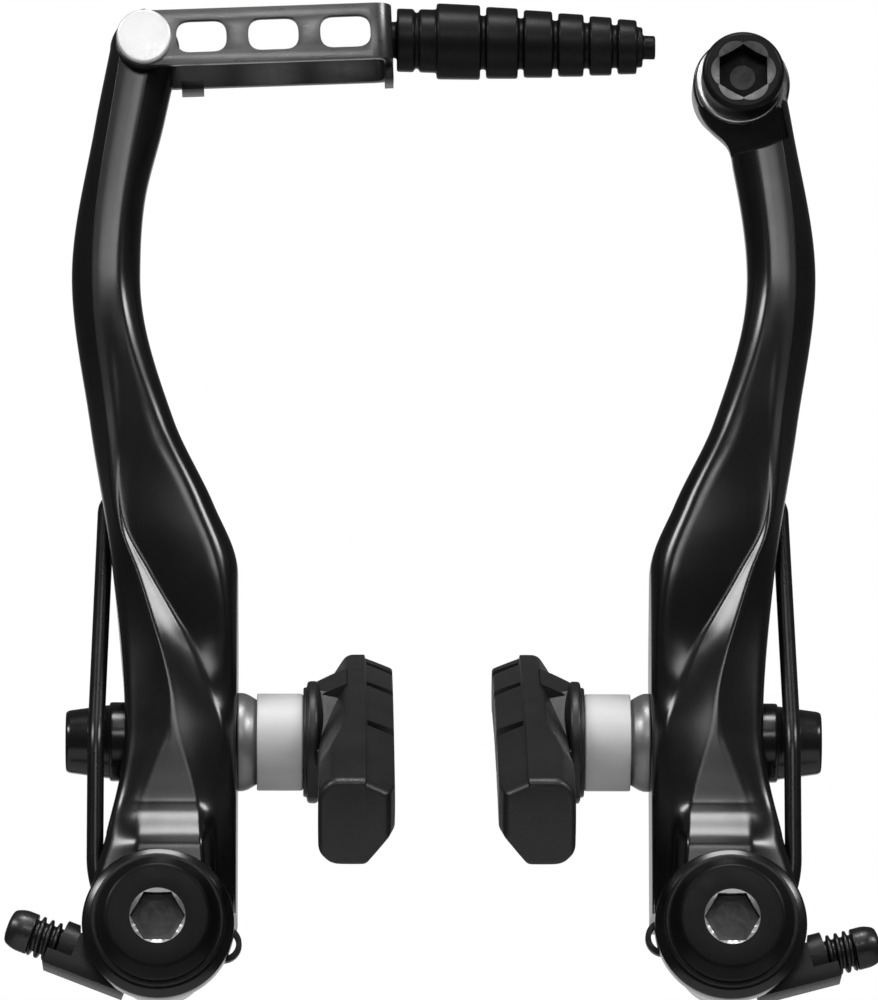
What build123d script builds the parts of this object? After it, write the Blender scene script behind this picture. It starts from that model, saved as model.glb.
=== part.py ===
"""Linear-pull bicycle brake: two arms on pivot bushes, with shoes, return springs and a cable link."""
import os
from math import cos, pi, radians, sin, sqrt

from build123d import *

# The frame: X across the wheel, Y from the viewer towards the bicycle frame, Z up.
# The origin lies midway between the two pivot axes, in the plane where the bushes seat.
# Pieces of one side are drawn for the left arm about its own pivot, with +X towards the wheel.
# All sizes are in millimetres and degrees. Depths are distances in front of the seat plane.

# Pivots
pivot_spacing = 70.6
stud_bore_radius = 4.0
bush_radius = 5.0
bush_length = 25.0
bush_collar_radius = 6.2
bush_collar_depth = 1.2
bush_seat_length = 14.0
grease_groove_length = 1.6
grease_groove_depth = 0.5
running_clearance = 0.05
side_clearance = 0.3

# Fixing bolts
dust_washer_radius = 8.65
dust_washer_depth = 1.1
flange_radius = 7.75
flange_flat_radius = 6.5
flange_depth = 2.6
bolt_radius = 3.0
fixing_bolt_length = 9.0
socket_across_flats = 6.0
socket_chamfer = 0.55
fixing_socket_depth = 2.0

# Arm boss
boss_radius = 9.4
boss_rim_depth = 3.8
rear_boss_front_radius = 7.3
rear_boss_back_radius = 6.4
spring_bay_depth = 9.4
spring_bay_radius = 8.9

# Arm outline, heights above the pivot axis
foot_height = 2.0
flare_height = 12.0
post_height = 25.0
apex_height = 50.8
knee_height = 45.5
bow_height = 84.0
link_height = 113.2
anchor_height = 108.8
arm_inner_face = 9.6
waist_outer = -4.3
flare_outer = -6.5
bow_outer = -11.4
bow_inner = -2.8
link_offset = -2.4
anchor_offset = -2.2
arm_end_radius = 4.45

# Arm depths
crest_depth = 22.4
ridge_depth = 20.3
knee_front_depth = 21.0
upper_front_depth = 19.0
upper_back_depth = 10.0
lower_back_depth = 4.5
upper_flank_setback = 2.6
back_edge_setback = 1.0
back_rise_above_post = 10.0
back_edge_rise_above_post = 8.0
slope_above_knee = 8.5
back_edge_above_knee = 3.0
flank_bevel = 2.2

# Brake shoe hardware
post_depth = 12.0
post_radius = 3.0
thread_clearance = 0.05
washer_bore_radius = 3.6
slot_length = 12.0
inner_dome_radius = 6.1
inner_dome_rim = 2.2
inner_cup_radius = 6.05
inner_cup_depth = 5.9
outer_washer_radius = 5.5
outer_dome_rim = 1.0
outer_cup_depth = 3.0
ball_radius = 9.0
ball_gap = 0.05
pocket_floor = 0.9
pocket_clearance = 0.3
pocket_length = 18.0
nut_collar_radius = 4.95
nut_collar_length = 3.1
nut_taper_radius = 4.6
nut_tip_radius = 3.85
nut_length = 8.6
nut_socket_depth = 4.0
nut_socket_across_flats = 5.0

# Brake shoe
pad_near_length = 43.0
pad_far_length = 22.0
pad_pitch = 22.9
pad_lift = 2.0
wheel_radius = 300.0
pad_height = 11.2
pad_boss_radius = 7.6
pad_boss_depth = 1.9
pad_step_radius = 6.8
pad_step_depth = 0.4
pad_gusset_depth = 3.0
shoulder_length = 12.0
shoulder_drop = 2.1
shoulder_crown = 0.9
shoulder_reach = 2.7
carrier_thickness = 5.8
friction_thickness = 3.5
top_strip = 2.7
back_bevel_drop = 4.6
friction_top_drop = 1.8
friction_bottom_drop = 3.7
pad_end_chamfer = 1.2
far_taper_length = 10.0
far_taper_depth = 2.2
near_block_length = 9.0
groove_width = 1.3
groove_depth = 2.4
groove_places = (-17.0, -2.0, 19.0)
plate_length = 40.0
plate_height = 5.0
plate_thickness = 1.5
plate_cover = 1.2

# Return spring
wire_radius = 1.05
coil_radius = 6.35
coil_turns = 2.83
coil_pitch = 2.2
leg_offset = -7.9
leg_depth = 19.4
leg_bend_height = 33.0
leg_top_height = 57.0
leg_top_offset = -7.0
leg_hook_length = 4.5
stop_pin_length = 3.5
wire_gap = 0.35
leg_gap = 0.9

# Spring holder and adjuster
holder_radius = 8.3
holder_wall = 0.7
holder_depth = 5.6
holder_turn = 3.2
screw_slope = 18.0
screw_head_reach = 17.7
screw_drop = 6.0
screw_head_radius = 2.6
screw_head_length = 3.4
screw_crest_radius = 2.6
screw_root_radius = 1.95
screw_pitch = 0.95
screw_length = 9.6
lug_width = 6.4
lug_depth = 6.4
lug_reach = 8.7
collar_reach = 10.7
collar_radius = 3.2
shelf_reach = 11.8
shelf_height = 1.9
ear_radius = 2.3
ear_hole_radius = 1.6
ear_offset = 8.1
ear_drop = 1.6
ear_thickness = 1.4

# Cable link
rivet_radius = 2.0
rivet_head_radius = 3.45
rivet_head_depth = 1.1
link_washer_radius = 3.6
link_washer_depth = 1.4
sheet = 1.1
link_half_height = 3.55
link_length = 31.2
link_tilt = 2.2
rear_rail_height = 4.4
window_length = 6.3
window_height = 4.15
window_pitch = 9.05
first_window = 7.2
link_bend_radius = 1.6
keyhole_radius = 2.45
keyhole_neck = 2.6
stop_tab_width = 2.8
stop_tab_place = 5.9
stop_tab_drop = 1.0
stop_tab_reach = 3.0
end_tab_width = 5.0
end_tab_drop = 1.8

# Bellows boot
boot_droop = 1.6
boot_rise = 0.3
boot_gap = 0.6
boot_plug_radius = 2.3
boot_plug_lip = 2.95
boot_lip_length = 1.0
boot_neck_radius = 4.0
boot_neck_groove = 3.55
boot_neck_length = 5.0
rib_count = 6
first_rib_radius = 4.8
last_rib_radius = 3.5
first_rib_length = 5.5
second_rib_length = 4.0
last_rib_length = 2.4
rib_gap = 0.75
first_groove_radius = 3.4
last_groove_radius = 2.55
rib_chamfer = 0.5
boot_tip_radius = 1.5
boot_tip_length = 1.6
boot_bore_radius = 0.9

# Cable anchor
anchor_radius = 6.1
anchor_recess_radius = 9.4
anchor_seat_depth = 16.3
anchor_back_depth = 9.5
cable_washer_radius = 5.5
cable_washer_depth = 1.3
cable_head_radius = 5.15
cable_head_depth = 5.4
cable_head_round = 0.5
cable_bolt_length = 6.0
cable_socket_depth = 3.4

os.makedirs("parts", exist_ok=True)


def facing(depth):
    """Sketch plane towards the viewer at a depth, with sketch x along X and sketch y along Z."""
    return Plane(origin=(0, -depth, 0), x_dir=(1, 0, 0), z_dir=(0, -1, 0))


def smooth_value(points, height):
    """Value at a height on the smooth curve through (height, value) points."""
    spans = list(zip(points, points[1:]))
    slopes = [(b[1] - a[1]) / (b[0] - a[0]) for a, b in spans]
    inner_slopes = [(m + n) / 2 if m * n > 0 else 0.0 for m, n in zip(slopes, slopes[1:])]
    tangents = [slopes[0], *inner_slopes, slopes[-1]]
    index = next((i for i, (a, b) in enumerate(spans) if height <= b[0]), len(spans) - 1)
    (low, start), (high, end) = spans[index]
    run = high - low
    t = (height - low) / run
    rise = (3 - 2 * t) * t * t
    bend_in = t * (1 - t) ** 2 * tangents[index]
    bend_out = t * t * (t - 1) * tangents[index + 1]
    return start + (end - start) * rise + (bend_in + bend_out) * run


# Arm: a ten-sided section whose corners run up the arm as edges and creases
half_height = (knee_height + bow_height) / 2
crease_height = (post_height + apex_height) / 2
slope_height = knee_height + slope_above_knee
shoulder_height = bow_height + (link_height - bow_height) * 0.34
neck_height = bow_height + (link_height - bow_height) * 0.66
anchor_run = anchor_height - bow_height

outer_line = [
    (foot_height, 0.2 - boss_radius), (flare_height, flare_outer), (post_height, waist_outer),
    (knee_height, waist_outer - 1.6), (half_height, -8.95), (bow_height, bow_outer),
    (neck_height, -8.65), (link_height, link_offset - arm_end_radius + 0.05),
]
inner_line = [
    (foot_height, arm_inner_face), (knee_height, arm_inner_face), (slope_height, 6.6), (half_height, 1.6),
    (bow_height, bow_inner), (shoulder_height, -2.25), (neck_height, -0.05),
    (link_height, link_offset + arm_end_radius - 0.05),
]
anchor_inner_line = [
    *inner_line[:5], (bow_height + anchor_run * 0.565, -1.15), (bow_height + anchor_run * 0.69, -0.35),
    (bow_height + anchor_run * 0.785, 2.0), (bow_height + anchor_run * 0.86, 3.1),
    (anchor_height, anchor_offset + anchor_radius - 0.2),
]
left_crease = [
    (foot_height, -5.5), (flare_height, -2.4), (post_height, 1.4), (crease_height, -1.2),
    (apex_height, -5.1), (half_height, -6.9), (bow_height, bow_outer + flank_bevel),
    (link_height, link_offset - 2.3),
]
right_crease = [
    (foot_height, 6.4), (flare_height, 5.2), (post_height, 2.1), (crease_height, -0.5),
    (apex_height, -4.6), (half_height, -5.6), (bow_height, bow_outer + flank_bevel + 1.0),
    (link_height, link_offset - 1.2),
]
panel_crease = [
    (foot_height, 8.7), (flare_height, 8.6), (post_height, 8.2), (crease_height, 2.8),
    (apex_height, -4.0), (half_height, -3.0), (bow_height, bow_outer + flank_bevel + 2.8),
    (link_height, link_offset + 0.6),
]
inner_crease = [
    (foot_height, arm_inner_face - 0.5), (post_height, arm_inner_face - 0.8),
    (knee_height, arm_inner_face - 2.1), (slope_height, 4.6), (half_height, -0.2),
    (bow_height, bow_inner - 1.9), (link_height, link_offset + 2.5),
]
front_line = [
    (foot_height, 24.0), (flare_height, 24.2), (post_height, crest_depth), (apex_height, ridge_depth),
    (half_height, upper_front_depth + 0.4), (bow_height, upper_front_depth), (link_height, upper_front_depth),
]
panel_line = [
    (foot_height, 20.4), (flare_height, 20.2), (post_height, 18.8), (crease_height, 19.7),
    (apex_height, ridge_depth - 0.1), (half_height, upper_front_depth + 0.5),
    (bow_height, upper_front_depth + 0.1), (link_height, upper_front_depth),
]
inner_crease_line = [
    (foot_height, 20.1), (post_height, 18.9), (knee_height, knee_front_depth),
    (half_height, upper_front_depth + 0.5), (bow_height, upper_front_depth - 0.1),
    (link_height, upper_front_depth - 0.1),
]
flank_line = [
    (foot_height, 22.2), (flare_height, 21.6), (post_height, 18.7), (apex_height, 17.6),
    (half_height, upper_front_depth - upper_flank_setback),
    (link_height, upper_front_depth - upper_flank_setback),
]
inner_flank_line = [
    (foot_height, 19.4), (post_height, 18.3), (knee_height, knee_front_depth - 1.7),
    (half_height, upper_front_depth - upper_flank_setback + 0.2),
    (link_height, upper_front_depth - upper_flank_setback),
]
back_line = [
    (foot_height, lower_back_depth), (post_height + back_rise_above_post, lower_back_depth),
    (half_height, upper_back_depth),
    (link_height, upper_back_depth),
]
back_edge_line = [
    (foot_height, lower_back_depth + back_edge_setback),
    (post_height + back_edge_rise_above_post, lower_back_depth + back_edge_setback),
    (knee_height + back_edge_above_knee, lower_back_depth + 7.4),
    (half_height, upper_back_depth + upper_flank_setback),
    (link_height, upper_back_depth + upper_flank_setback),
]


def arm_section(height, wheel_side):
    """Corner points of the arm's section at a height, as (x, y) pairs, for a wheel-side line."""
    outer = smooth_value(outer_line, height)
    inner = smooth_value(wheel_side, height)
    front = smooth_value(front_line, height)
    back = smooth_value(back_line, height)
    back_edge = smooth_value(back_edge_line, height)
    flank = smooth_value(flank_line, height)
    inner_flank = smooth_value(inner_flank_line, height)
    corner = back_edge - back
    return [
        (outer + corner, -back),
        (outer, -back_edge),
        (outer, -flank),
        (smooth_value(left_crease, height), -front + 0.1),
        (smooth_value(right_crease, height), -front),
        (smooth_value(panel_crease, height), -smooth_value(panel_line, height)),
        (min(smooth_value(inner_crease, height), inner - 0.5), -smooth_value(inner_crease_line, height)),
        (inner, -inner_flank),
        (inner, -back_edge),
        (inner - corner, -back),
    ]


def arm_heights(wheel_side):
    """Heights of the arm's sections: its named heights, with two more in each long span."""
    ends = [height for height, value in wheel_side if height > bow_height]
    named = [foot_height, flare_height, post_height, knee_height, half_height, bow_height, *ends]
    spans = [(low, high - low) for low, high in zip(named, named[1:])]
    shares = [(0, 1 / 3, 2 / 3) if run > flare_height / 2 else (0,) for low, run in spans]
    return [*[low + run * part for (low, run), parts in zip(spans, shares) for part in parts], ends[-1]]


boss_front_depth = bush_length - side_clearance
boss_rim_back = boss_front_depth - boss_rim_depth
spring_bay_back = boss_rim_back - spring_bay_depth
rear_boss_back = bush_collar_depth + side_clearance
arm_bore_radius = bush_radius + running_clearance
post_y = -post_depth
post_plane = Plane(origin=(0, post_y, post_height))
post_axis = Axis((0, post_y, post_height), (1, 0, 0))
leg_bay_edge = leg_offset + wire_radius + wire_gap


# Forged arm blanks with boss, spring bay, post slot and washer pockets, one for each top
blanks = []
for wheel_side in (inner_line, anchor_inner_line):
    with BuildPart() as blank:
        for height in arm_heights(wheel_side):
            with BuildSketch(Plane.XY.offset(height)):
                with BuildLine():
                    Polyline(*arm_section(height, wheel_side), close=True)
                make_face()
        loft()
        with BuildSketch(facing(boss_rim_back)):
            Circle(boss_radius)
        extrude(amount=boss_rim_depth)
        with BuildSketch(Plane.XY):
            with BuildLine():
                Polyline(
                    (0, -spring_bay_back), (rear_boss_front_radius, -spring_bay_back),
                    (rear_boss_back_radius, -rear_boss_back), (0, -rear_boss_back), close=True,
                )
            make_face()
        revolve(axis=Axis.Y)
        with BuildSketch(facing(spring_bay_back)):
            Circle(spring_bay_radius)
        extrude(amount=spring_bay_depth, mode=Mode.SUBTRACT)
        with BuildSketch(facing(0)):
            with Locations((leg_bay_edge, 0)):
                Rectangle(2 * boss_radius, 2 * (flare_height + 5), align=(Align.MAX, Align.CENTER))
        extrude(amount=boss_rim_back, mode=Mode.SUBTRACT)
        with BuildSketch(facing(0)):
            Circle(arm_bore_radius)
        extrude(amount=bush_length, mode=Mode.SUBTRACT)
        side = Plane(origin=(0, post_y, post_height), x_dir=(0, 0, 1), z_dir=(1, 0, 0))
        with BuildSketch(side.offset(-2 * boss_radius)):
            SlotOverall(slot_length, 2 * washer_bore_radius)
        extrude(amount=4 * boss_radius, mode=Mode.SUBTRACT)
        with BuildSketch(side.offset(pocket_floor)):
            SlotOverall(pocket_length, 2 * (outer_washer_radius + pocket_clearance))
        extrude(amount=-2 * boss_radius, mode=Mode.SUBTRACT)
        with BuildSketch(side.offset(arm_inner_face)):
            SlotOverall(pocket_length, 2 * (inner_dome_radius + pocket_clearance))
        extrude(amount=boss_radius, mode=Mode.SUBTRACT)
    blanks.append(blank.part)

with BuildPart() as left_arm:
    add(blanks[0])
    with BuildSketch(facing(upper_back_depth)):
        with Locations((link_offset, link_height)):
            Circle(arm_end_radius)
    extrude(amount=upper_front_depth - upper_back_depth)
    with BuildSketch(facing(0)):
        with Locations((link_offset, link_height)):
            Circle(rivet_radius + running_clearance)
    extrude(amount=bush_length, mode=Mode.SUBTRACT)
    with BuildSketch(facing(upper_front_depth - running_clearance)):
        with Locations((link_offset, link_height)):
            Circle(2 * arm_end_radius)
    extrude(amount=boss_rim_depth, mode=Mode.SUBTRACT)
    with BuildSketch(facing(upper_back_depth)):
        with Locations((link_offset, link_height)):
            Circle(2 * arm_end_radius)
    extrude(amount=-boss_rim_depth, mode=Mode.SUBTRACT)

with BuildPart() as right_arm:
    add(blanks[1])
    with BuildSketch(facing(anchor_back_depth)):
        with Locations((anchor_offset, anchor_height)):
            Circle(anchor_radius)
    extrude(amount=anchor_seat_depth - anchor_back_depth)
    with BuildSketch(facing(anchor_seat_depth)):
        with Locations((anchor_offset, anchor_height)):
            Circle(anchor_recess_radius)
    extrude(amount=bush_length - anchor_seat_depth, mode=Mode.SUBTRACT)
    with BuildSketch(facing(0)):
        with Locations((anchor_offset, anchor_height)):
            Circle(bolt_radius + thread_clearance)
    extrude(amount=bush_length, mode=Mode.SUBTRACT)


# Pivot hardware, turned about the pivot axis
bush_bore_split = bush_seat_length + grease_groove_length
flange_back_depth = bush_length + dust_washer_depth
flange_front_depth = flange_back_depth + flange_depth
hex_corner = 2 / sqrt(3)

with BuildPart() as pivot_bush:
    with BuildSketch(Plane.XY):
        with BuildLine():
            Polyline(
                (stud_bore_radius, 0), (bush_collar_radius, 0), (bush_collar_radius, -bush_collar_depth),
                (bush_radius, -bush_collar_depth), (bush_radius, -bush_length),
                (stud_bore_radius, -bush_length), (stud_bore_radius, -bush_bore_split),
                (stud_bore_radius + grease_groove_depth, -bush_bore_split),
                (stud_bore_radius + grease_groove_depth, -bush_seat_length),
                (stud_bore_radius, -bush_seat_length), close=True,
            )
        make_face()
    revolve(axis=Axis.Y)

with BuildPart() as dust_washer:
    with BuildSketch(facing(bush_length)):
        Circle(dust_washer_radius)
        Circle(bolt_radius + side_clearance, mode=Mode.SUBTRACT)
    extrude(amount=dust_washer_depth)

with BuildPart() as fixing_bolt:
    with BuildSketch(Plane.XY):
        with BuildLine():
            Polyline(
                (0, fixing_bolt_length - bush_length), (bolt_radius, fixing_bolt_length - bush_length),
                (bolt_radius, -flange_back_depth), (flange_radius, -flange_back_depth),
                (flange_radius, -flange_back_depth - flange_depth / 3),
                (flange_flat_radius, -flange_front_depth), (0, -flange_front_depth), close=True,
            )
        make_face()
    revolve(axis=Axis.Y)
    with BuildSketch(facing(flange_front_depth)):
        RegularPolygon(socket_across_flats / 2, 6, major_radius=False)
    extrude(amount=-fixing_socket_depth, mode=Mode.SUBTRACT)
    mouth_radius = hex_corner * socket_across_flats / 2 + socket_chamfer / 2
    with BuildSketch(Plane.XY):
        with BuildLine():
            Polyline(
                (0, -flange_front_depth), (mouth_radius, -flange_front_depth),
                (mouth_radius - socket_chamfer, socket_chamfer - flange_front_depth),
                (0, socket_chamfer - flange_front_depth), close=True,
            )
        make_face()
    revolve(axis=Axis.Y, mode=Mode.SUBTRACT)

# Ball washers either side of the arm, turned about the shoe's post
inner_ball_centre = arm_inner_face + inner_dome_rim - sqrt(ball_radius**2 - inner_dome_radius**2)
outer_ball_centre = pocket_floor - outer_dome_rim + sqrt(ball_radius**2 - outer_washer_radius**2)


def ball_reach(radius, gap=0.0):
    """Distance from the ball's centre plane to its surface at a radius from the post's axis."""
    return sqrt((ball_radius + gap) ** 2 - radius**2)


inner_cup_start = inner_ball_centre + ball_reach(inner_cup_radius, ball_gap)
inner_cup_end = inner_cup_start + inner_cup_depth
outer_cup_start = outer_ball_centre - ball_reach(outer_washer_radius, ball_gap)
outer_cup_end = outer_cup_start - outer_cup_depth
domes = {}
cups = {}
for place, centre, way, seat, radius, cup_radius, cup_end in (
    ("inner", inner_ball_centre, 1, arm_inner_face, inner_dome_radius, inner_cup_radius, inner_cup_end),
    ("outer", outer_ball_centre, -1, pocket_floor, outer_washer_radius, outer_washer_radius, outer_cup_end),
):
    middle = (washer_bore_radius + radius) / 2
    with BuildPart() as dome:
        with BuildSketch(post_plane):
            with BuildLine():
                rim_end = (centre + way * ball_reach(radius), radius)
                bore_end = (centre + way * ball_reach(washer_bore_radius), washer_bore_radius)
                Polyline(bore_end, (seat, washer_bore_radius), (seat, radius), rim_end)
                ThreePointArc(rim_end, (centre + way * ball_reach(middle), middle), bore_end)
            make_face()
        revolve(axis=post_axis)
    domes[place] = dome
    cup_middle = (washer_bore_radius + cup_radius) / 2
    with BuildPart() as cup:
        with BuildSketch(post_plane):
            with BuildLine():
                rim_end = (centre + way * ball_reach(cup_radius, ball_gap), cup_radius)
                bore_end = (centre + way * ball_reach(washer_bore_radius, ball_gap), washer_bore_radius)
                Polyline(bore_end, (cup_end, washer_bore_radius), (cup_end, cup_radius), rim_end)
                hollow = (centre + way * ball_reach(cup_middle, ball_gap), cup_middle)
                ThreePointArc(rim_end, hollow, bore_end)
            make_face()
        revolve(axis=post_axis)
    cups[place] = cup

nut_tip = outer_cup_end - nut_length
with BuildPart() as shoe_nut:
    with BuildSketch(post_plane):
        with BuildLine():
            Polyline(
                (outer_cup_end, post_radius + thread_clearance), (outer_cup_end, nut_collar_radius),
                (outer_cup_end - nut_collar_length, nut_collar_radius),
                (outer_cup_end - nut_collar_length, nut_taper_radius),
                (nut_tip, nut_tip_radius), (nut_tip, post_radius + thread_clearance), close=True,
            )
        make_face()
    revolve(axis=post_axis)
    with BuildSketch(Plane(origin=(nut_tip, post_y, post_height), x_dir=(0, 1, 0), z_dir=(1, 0, 0))):
        RegularPolygon(nut_socket_across_flats / 2, 6, major_radius=False)
    extrude(amount=nut_socket_depth, mode=Mode.SUBTRACT)

# Shoe: a section carried round the wheel's axis, pitched about the post with its near end down
pitch = radians(pad_pitch)
pad_near_way = Vector(0, -cos(pitch), -sin(pitch))
pad_up_way = Vector(0, -sin(pitch), cos(pitch))
post_point = Vector(0, post_y, post_height)
wheel_centre = post_point - pad_up_way * wheel_radius
wheel_axis = Axis(wheel_centre, (1, 0, 0))
boss_face = inner_cup_end
pad_back = boss_face + pad_boss_depth
pad_ridge = pad_back + carrier_thickness
pad_face = pad_ridge + friction_thickness
pad_top = pad_lift + pad_height / 2
pad_bottom = pad_lift - pad_height / 2
shoulder_face = boss_face + 2 * pad_step_depth


def pad_plane(run):
    """Section plane of the shoe at a run along the rim from the post, positive towards the near end."""
    turn = run / wheel_radius
    up = pad_up_way * cos(turn) + pad_near_way * sin(turn)
    near = pad_near_way * cos(turn) - pad_up_way * sin(turn)
    return Plane(origin=wheel_centre + up * wheel_radius, x_dir=(1, 0, 0), z_dir=near)


with BuildPart() as shoe_post:
    plate_plane = Plane(origin=post_point, x_dir=pad_near_way, z_dir=(1, 0, 0))
    with BuildSketch(plate_plane.offset(pad_back + plate_cover)):
        SlotOverall(plate_length, plate_height)
    extrude(amount=plate_thickness)
    with BuildSketch(plate_plane.offset(nut_tip + nut_socket_depth)):
        Circle(post_radius)
    extrude(amount=pad_back + plate_cover - nut_tip - nut_socket_depth)

with BuildPart() as shoe_pad:
    with BuildSketch(pad_plane(-pad_far_length)):
        with BuildLine():
            Polyline(
                (pad_back, pad_bottom + pad_end_chamfer), (pad_back + pad_end_chamfer, pad_bottom),
                (pad_ridge, pad_bottom), (pad_face, pad_bottom + friction_bottom_drop),
                (pad_face, pad_top - friction_top_drop), (pad_ridge, pad_top),
                (pad_ridge - top_strip, pad_top), (pad_back, pad_top - back_bevel_drop), close=True,
            )
        make_face()
    revolve(axis=wheel_axis, revolution_arc=(pad_near_length + pad_far_length) / wheel_radius * 180 / pi)
    with BuildSketch(pad_plane(pad_near_length - near_block_length)):
        with BuildLine():
            Polyline(
                (pad_back, pad_bottom + pad_end_chamfer), (pad_back + pad_end_chamfer, pad_bottom),
                (pad_ridge, pad_bottom), (pad_ridge, pad_top), (pad_back + pad_end_chamfer, pad_top),
                (pad_back, pad_top - pad_end_chamfer), close=True,
            )
        make_face()
    revolve(axis=wheel_axis, revolution_arc=near_block_length / wheel_radius * 180 / pi)
    with BuildSketch(Plane(origin=post_point, x_dir=(1, 0, 0), z_dir=pad_up_way)):
        with BuildLine():
            Polyline(
                (pad_back, pad_far_length - far_taper_length), (pad_back + far_taper_depth, pad_far_length),
                (pad_back + far_taper_depth, 2 * pad_far_length), (0, 2 * pad_far_length),
                (0, pad_far_length - far_taper_length), close=True,
            )
        make_face()
    extrude(amount=2 * pad_height, both=True, mode=Mode.SUBTRACT)
    with BuildSketch(Plane(origin=post_point, x_dir=(1, 0, 0), z_dir=pad_up_way)):
        with BuildLine():
            Polyline(
                (pad_face, friction_thickness - pad_near_length), (pad_face, -2 * pad_near_length),
                (pad_ridge, -2 * pad_near_length), (pad_ridge, -pad_near_length - 4 * friction_thickness),
                close=True,
            )
        make_face()
    extrude(amount=2 * pad_height, both=True, mode=Mode.SUBTRACT)
    with BuildSketch(pad_plane(-shoulder_length)):
        with BuildLine():
            Polyline(
                (shoulder_face, 0), (shoulder_face, pad_top - shoulder_drop),
                (shoulder_face + shoulder_reach, pad_top - shoulder_crown), (pad_ridge - top_strip, pad_top),
                (pad_ridge - top_strip, 0), close=True,
            )
        make_face()
    extrude(amount=shoulder_length)
    with BuildSketch(post_plane):
        with BuildLine():
            Polyline(
                (boss_face, 0), (boss_face, pad_step_radius), (boss_face + pad_step_depth, pad_step_radius),
                (boss_face + pad_step_depth, pad_boss_radius), (pad_back, pad_boss_radius),
                (pad_back + pad_gusset_depth, -pad_bottom),
                (pad_back + pad_gusset_depth, 0), close=True,
            )
        make_face()
    revolve(axis=post_axis)
    for place in groove_places:
        with BuildSketch(pad_plane(place - groove_width / 2)):
            with Locations((pad_face - groove_depth, 0)):
                Rectangle(2 * groove_depth, 2 * pad_height, align=(Align.MIN, Align.CENTER))
        extrude(amount=groove_width, mode=Mode.SUBTRACT)
    add(shoe_post.part, mode=Mode.SUBTRACT)

# Return spring: a coil about the bush, a leg up behind the arm and a stop pin into the frame
coil_height = coil_turns * coil_pitch
coil_start = radians(360 * (coil_turns - 2) + 180)
coil_plane = Plane(
    origin=(0, coil_height - leg_depth, 0), x_dir=(cos(coil_start), 0, sin(coil_start)), z_dir=(0, -1, 0),
)
coil = coil_plane.location * Helix(coil_pitch, coil_height, coil_radius, lefthand=True)
pin_reach = sqrt((rear_boss_front_radius + wire_radius + wire_gap) ** 2 - coil_radius**2)
leg_top_y = wire_radius + leg_gap - smooth_value(back_line, leg_top_height)
with BuildPart() as return_spring:
    with BuildLine() as wire_path:
        add(coil)
        leg_start = coil @ 1
        leg_run = leg_start + (coil % 1) * 2.4
        FilletPolyline(
            leg_start, leg_run, (leg_offset, leg_run.Y, 7.0), (leg_offset, leg_run.Y, leg_bend_height),
            (leg_top_offset, leg_top_y, leg_top_height),
            (leg_top_offset + leg_hook_length, leg_top_y, leg_top_height + 0.5), radius=2.0,
        )
        pin_start = coil @ 0
        pin_corner = pin_start - (coil % 0) * pin_reach
        FilletPolyline(pin_start, pin_corner, (pin_corner.X, stop_pin_length, pin_corner.Z), radius=2.0)
    with BuildSketch(Plane(origin=pin_start, z_dir=coil % 0)):
        Circle(wire_radius)
    sweep(path=wire_path.line)

# Spring holder: an open ring round the coil, with a lug for the adjuster screw and a small ear
holder_front = boss_rim_back - side_clearance
slope = radians(screw_slope)
screw_out = Vector(-cos(slope), 0, sin(slope))
screw_across = Vector(sin(slope), 0, cos(slope))
screw_middle_y = lug_depth / 2 - holder_front
screw_foot = Vector(0, screw_middle_y, 0) - screw_across * screw_drop
screw_plane = Plane(origin=screw_foot, x_dir=screw_across, z_dir=screw_out)
lug_plane = Plane(origin=screw_foot, x_dir=screw_out, z_dir=(0, 1, 0))
screw_tip = screw_head_reach - screw_length

with BuildPart() as spring_holder:
    with BuildSketch(facing(holder_front)):
        Circle(holder_radius)
    extrude(amount=-holder_depth)
    with BuildSketch(lug_plane):
        with Locations((lug_reach, 0)):
            Rectangle(lug_reach - ear_thickness, lug_width, align=(Align.MAX, Align.CENTER))
        with Locations((shelf_reach, -lug_width / 2)):
            Rectangle(shelf_reach - ear_thickness, shelf_height, align=(Align.MAX, Align.MIN))
    extrude(amount=lug_depth / 2, both=True)
    with BuildSketch(screw_plane.offset(lug_reach - ear_thickness)):
        Circle(collar_radius)
    extrude(amount=collar_reach - lug_reach + ear_thickness)
    with BuildSketch(facing(holder_front)):
        with Locations((ear_offset, -ear_drop)):
            Circle(ear_radius)
    extrude(amount=-ear_thickness)
    with BuildSketch(facing(holder_front)):
        Circle(holder_radius - holder_wall)
        with Locations((leg_bay_edge + wire_radius, -1.2 * wire_radius)):
            Rectangle(4 * wire_radius, 2 * holder_radius, align=(Align.MAX, Align.MIN))
        with Locations((ear_offset, -ear_drop)):
            Circle(ear_hole_radius)
    extrude(amount=-2 * holder_depth, mode=Mode.SUBTRACT)
    with BuildSketch(screw_plane.offset(screw_tip - side_clearance)):
        Circle(screw_crest_radius + thread_clearance)
    extrude(amount=screw_head_reach, mode=Mode.SUBTRACT)

# Adjuster screw: ring-shaped thread crests under a domed head with a cross slot
with BuildPart() as adjuster_screw:
    thread_end = screw_head_reach - screw_head_length
    with BuildSketch(screw_plane.offset(screw_tip)):
        Circle(screw_root_radius)
    extrude(amount=screw_length - screw_head_length)
    crest_count = int((thread_end - screw_tip) / screw_pitch)
    for number in range(crest_count):
        crest_start = screw_tip + (number + 0.25) * screw_pitch
        with BuildSketch(screw_plane.offset(crest_start)):
            Circle(screw_crest_radius)
        extrude(amount=screw_pitch / 2)
    with BuildSketch(screw_plane.offset(thread_end)):
        Circle(screw_head_radius)
    extrude(amount=screw_head_length)
    fillet(faces().sort_by(Axis(screw_foot, screw_out))[-1].edges(), screw_head_length / 2)
    with BuildSketch(screw_plane.offset(screw_head_reach)):
        Rectangle(screw_root_radius * 1.4, screw_root_radius * 0.4)
        Rectangle(screw_root_radius * 0.4, screw_root_radius * 1.4)
    extrude(amount=-screw_head_length / 2, mode=Mode.SUBTRACT)

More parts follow.
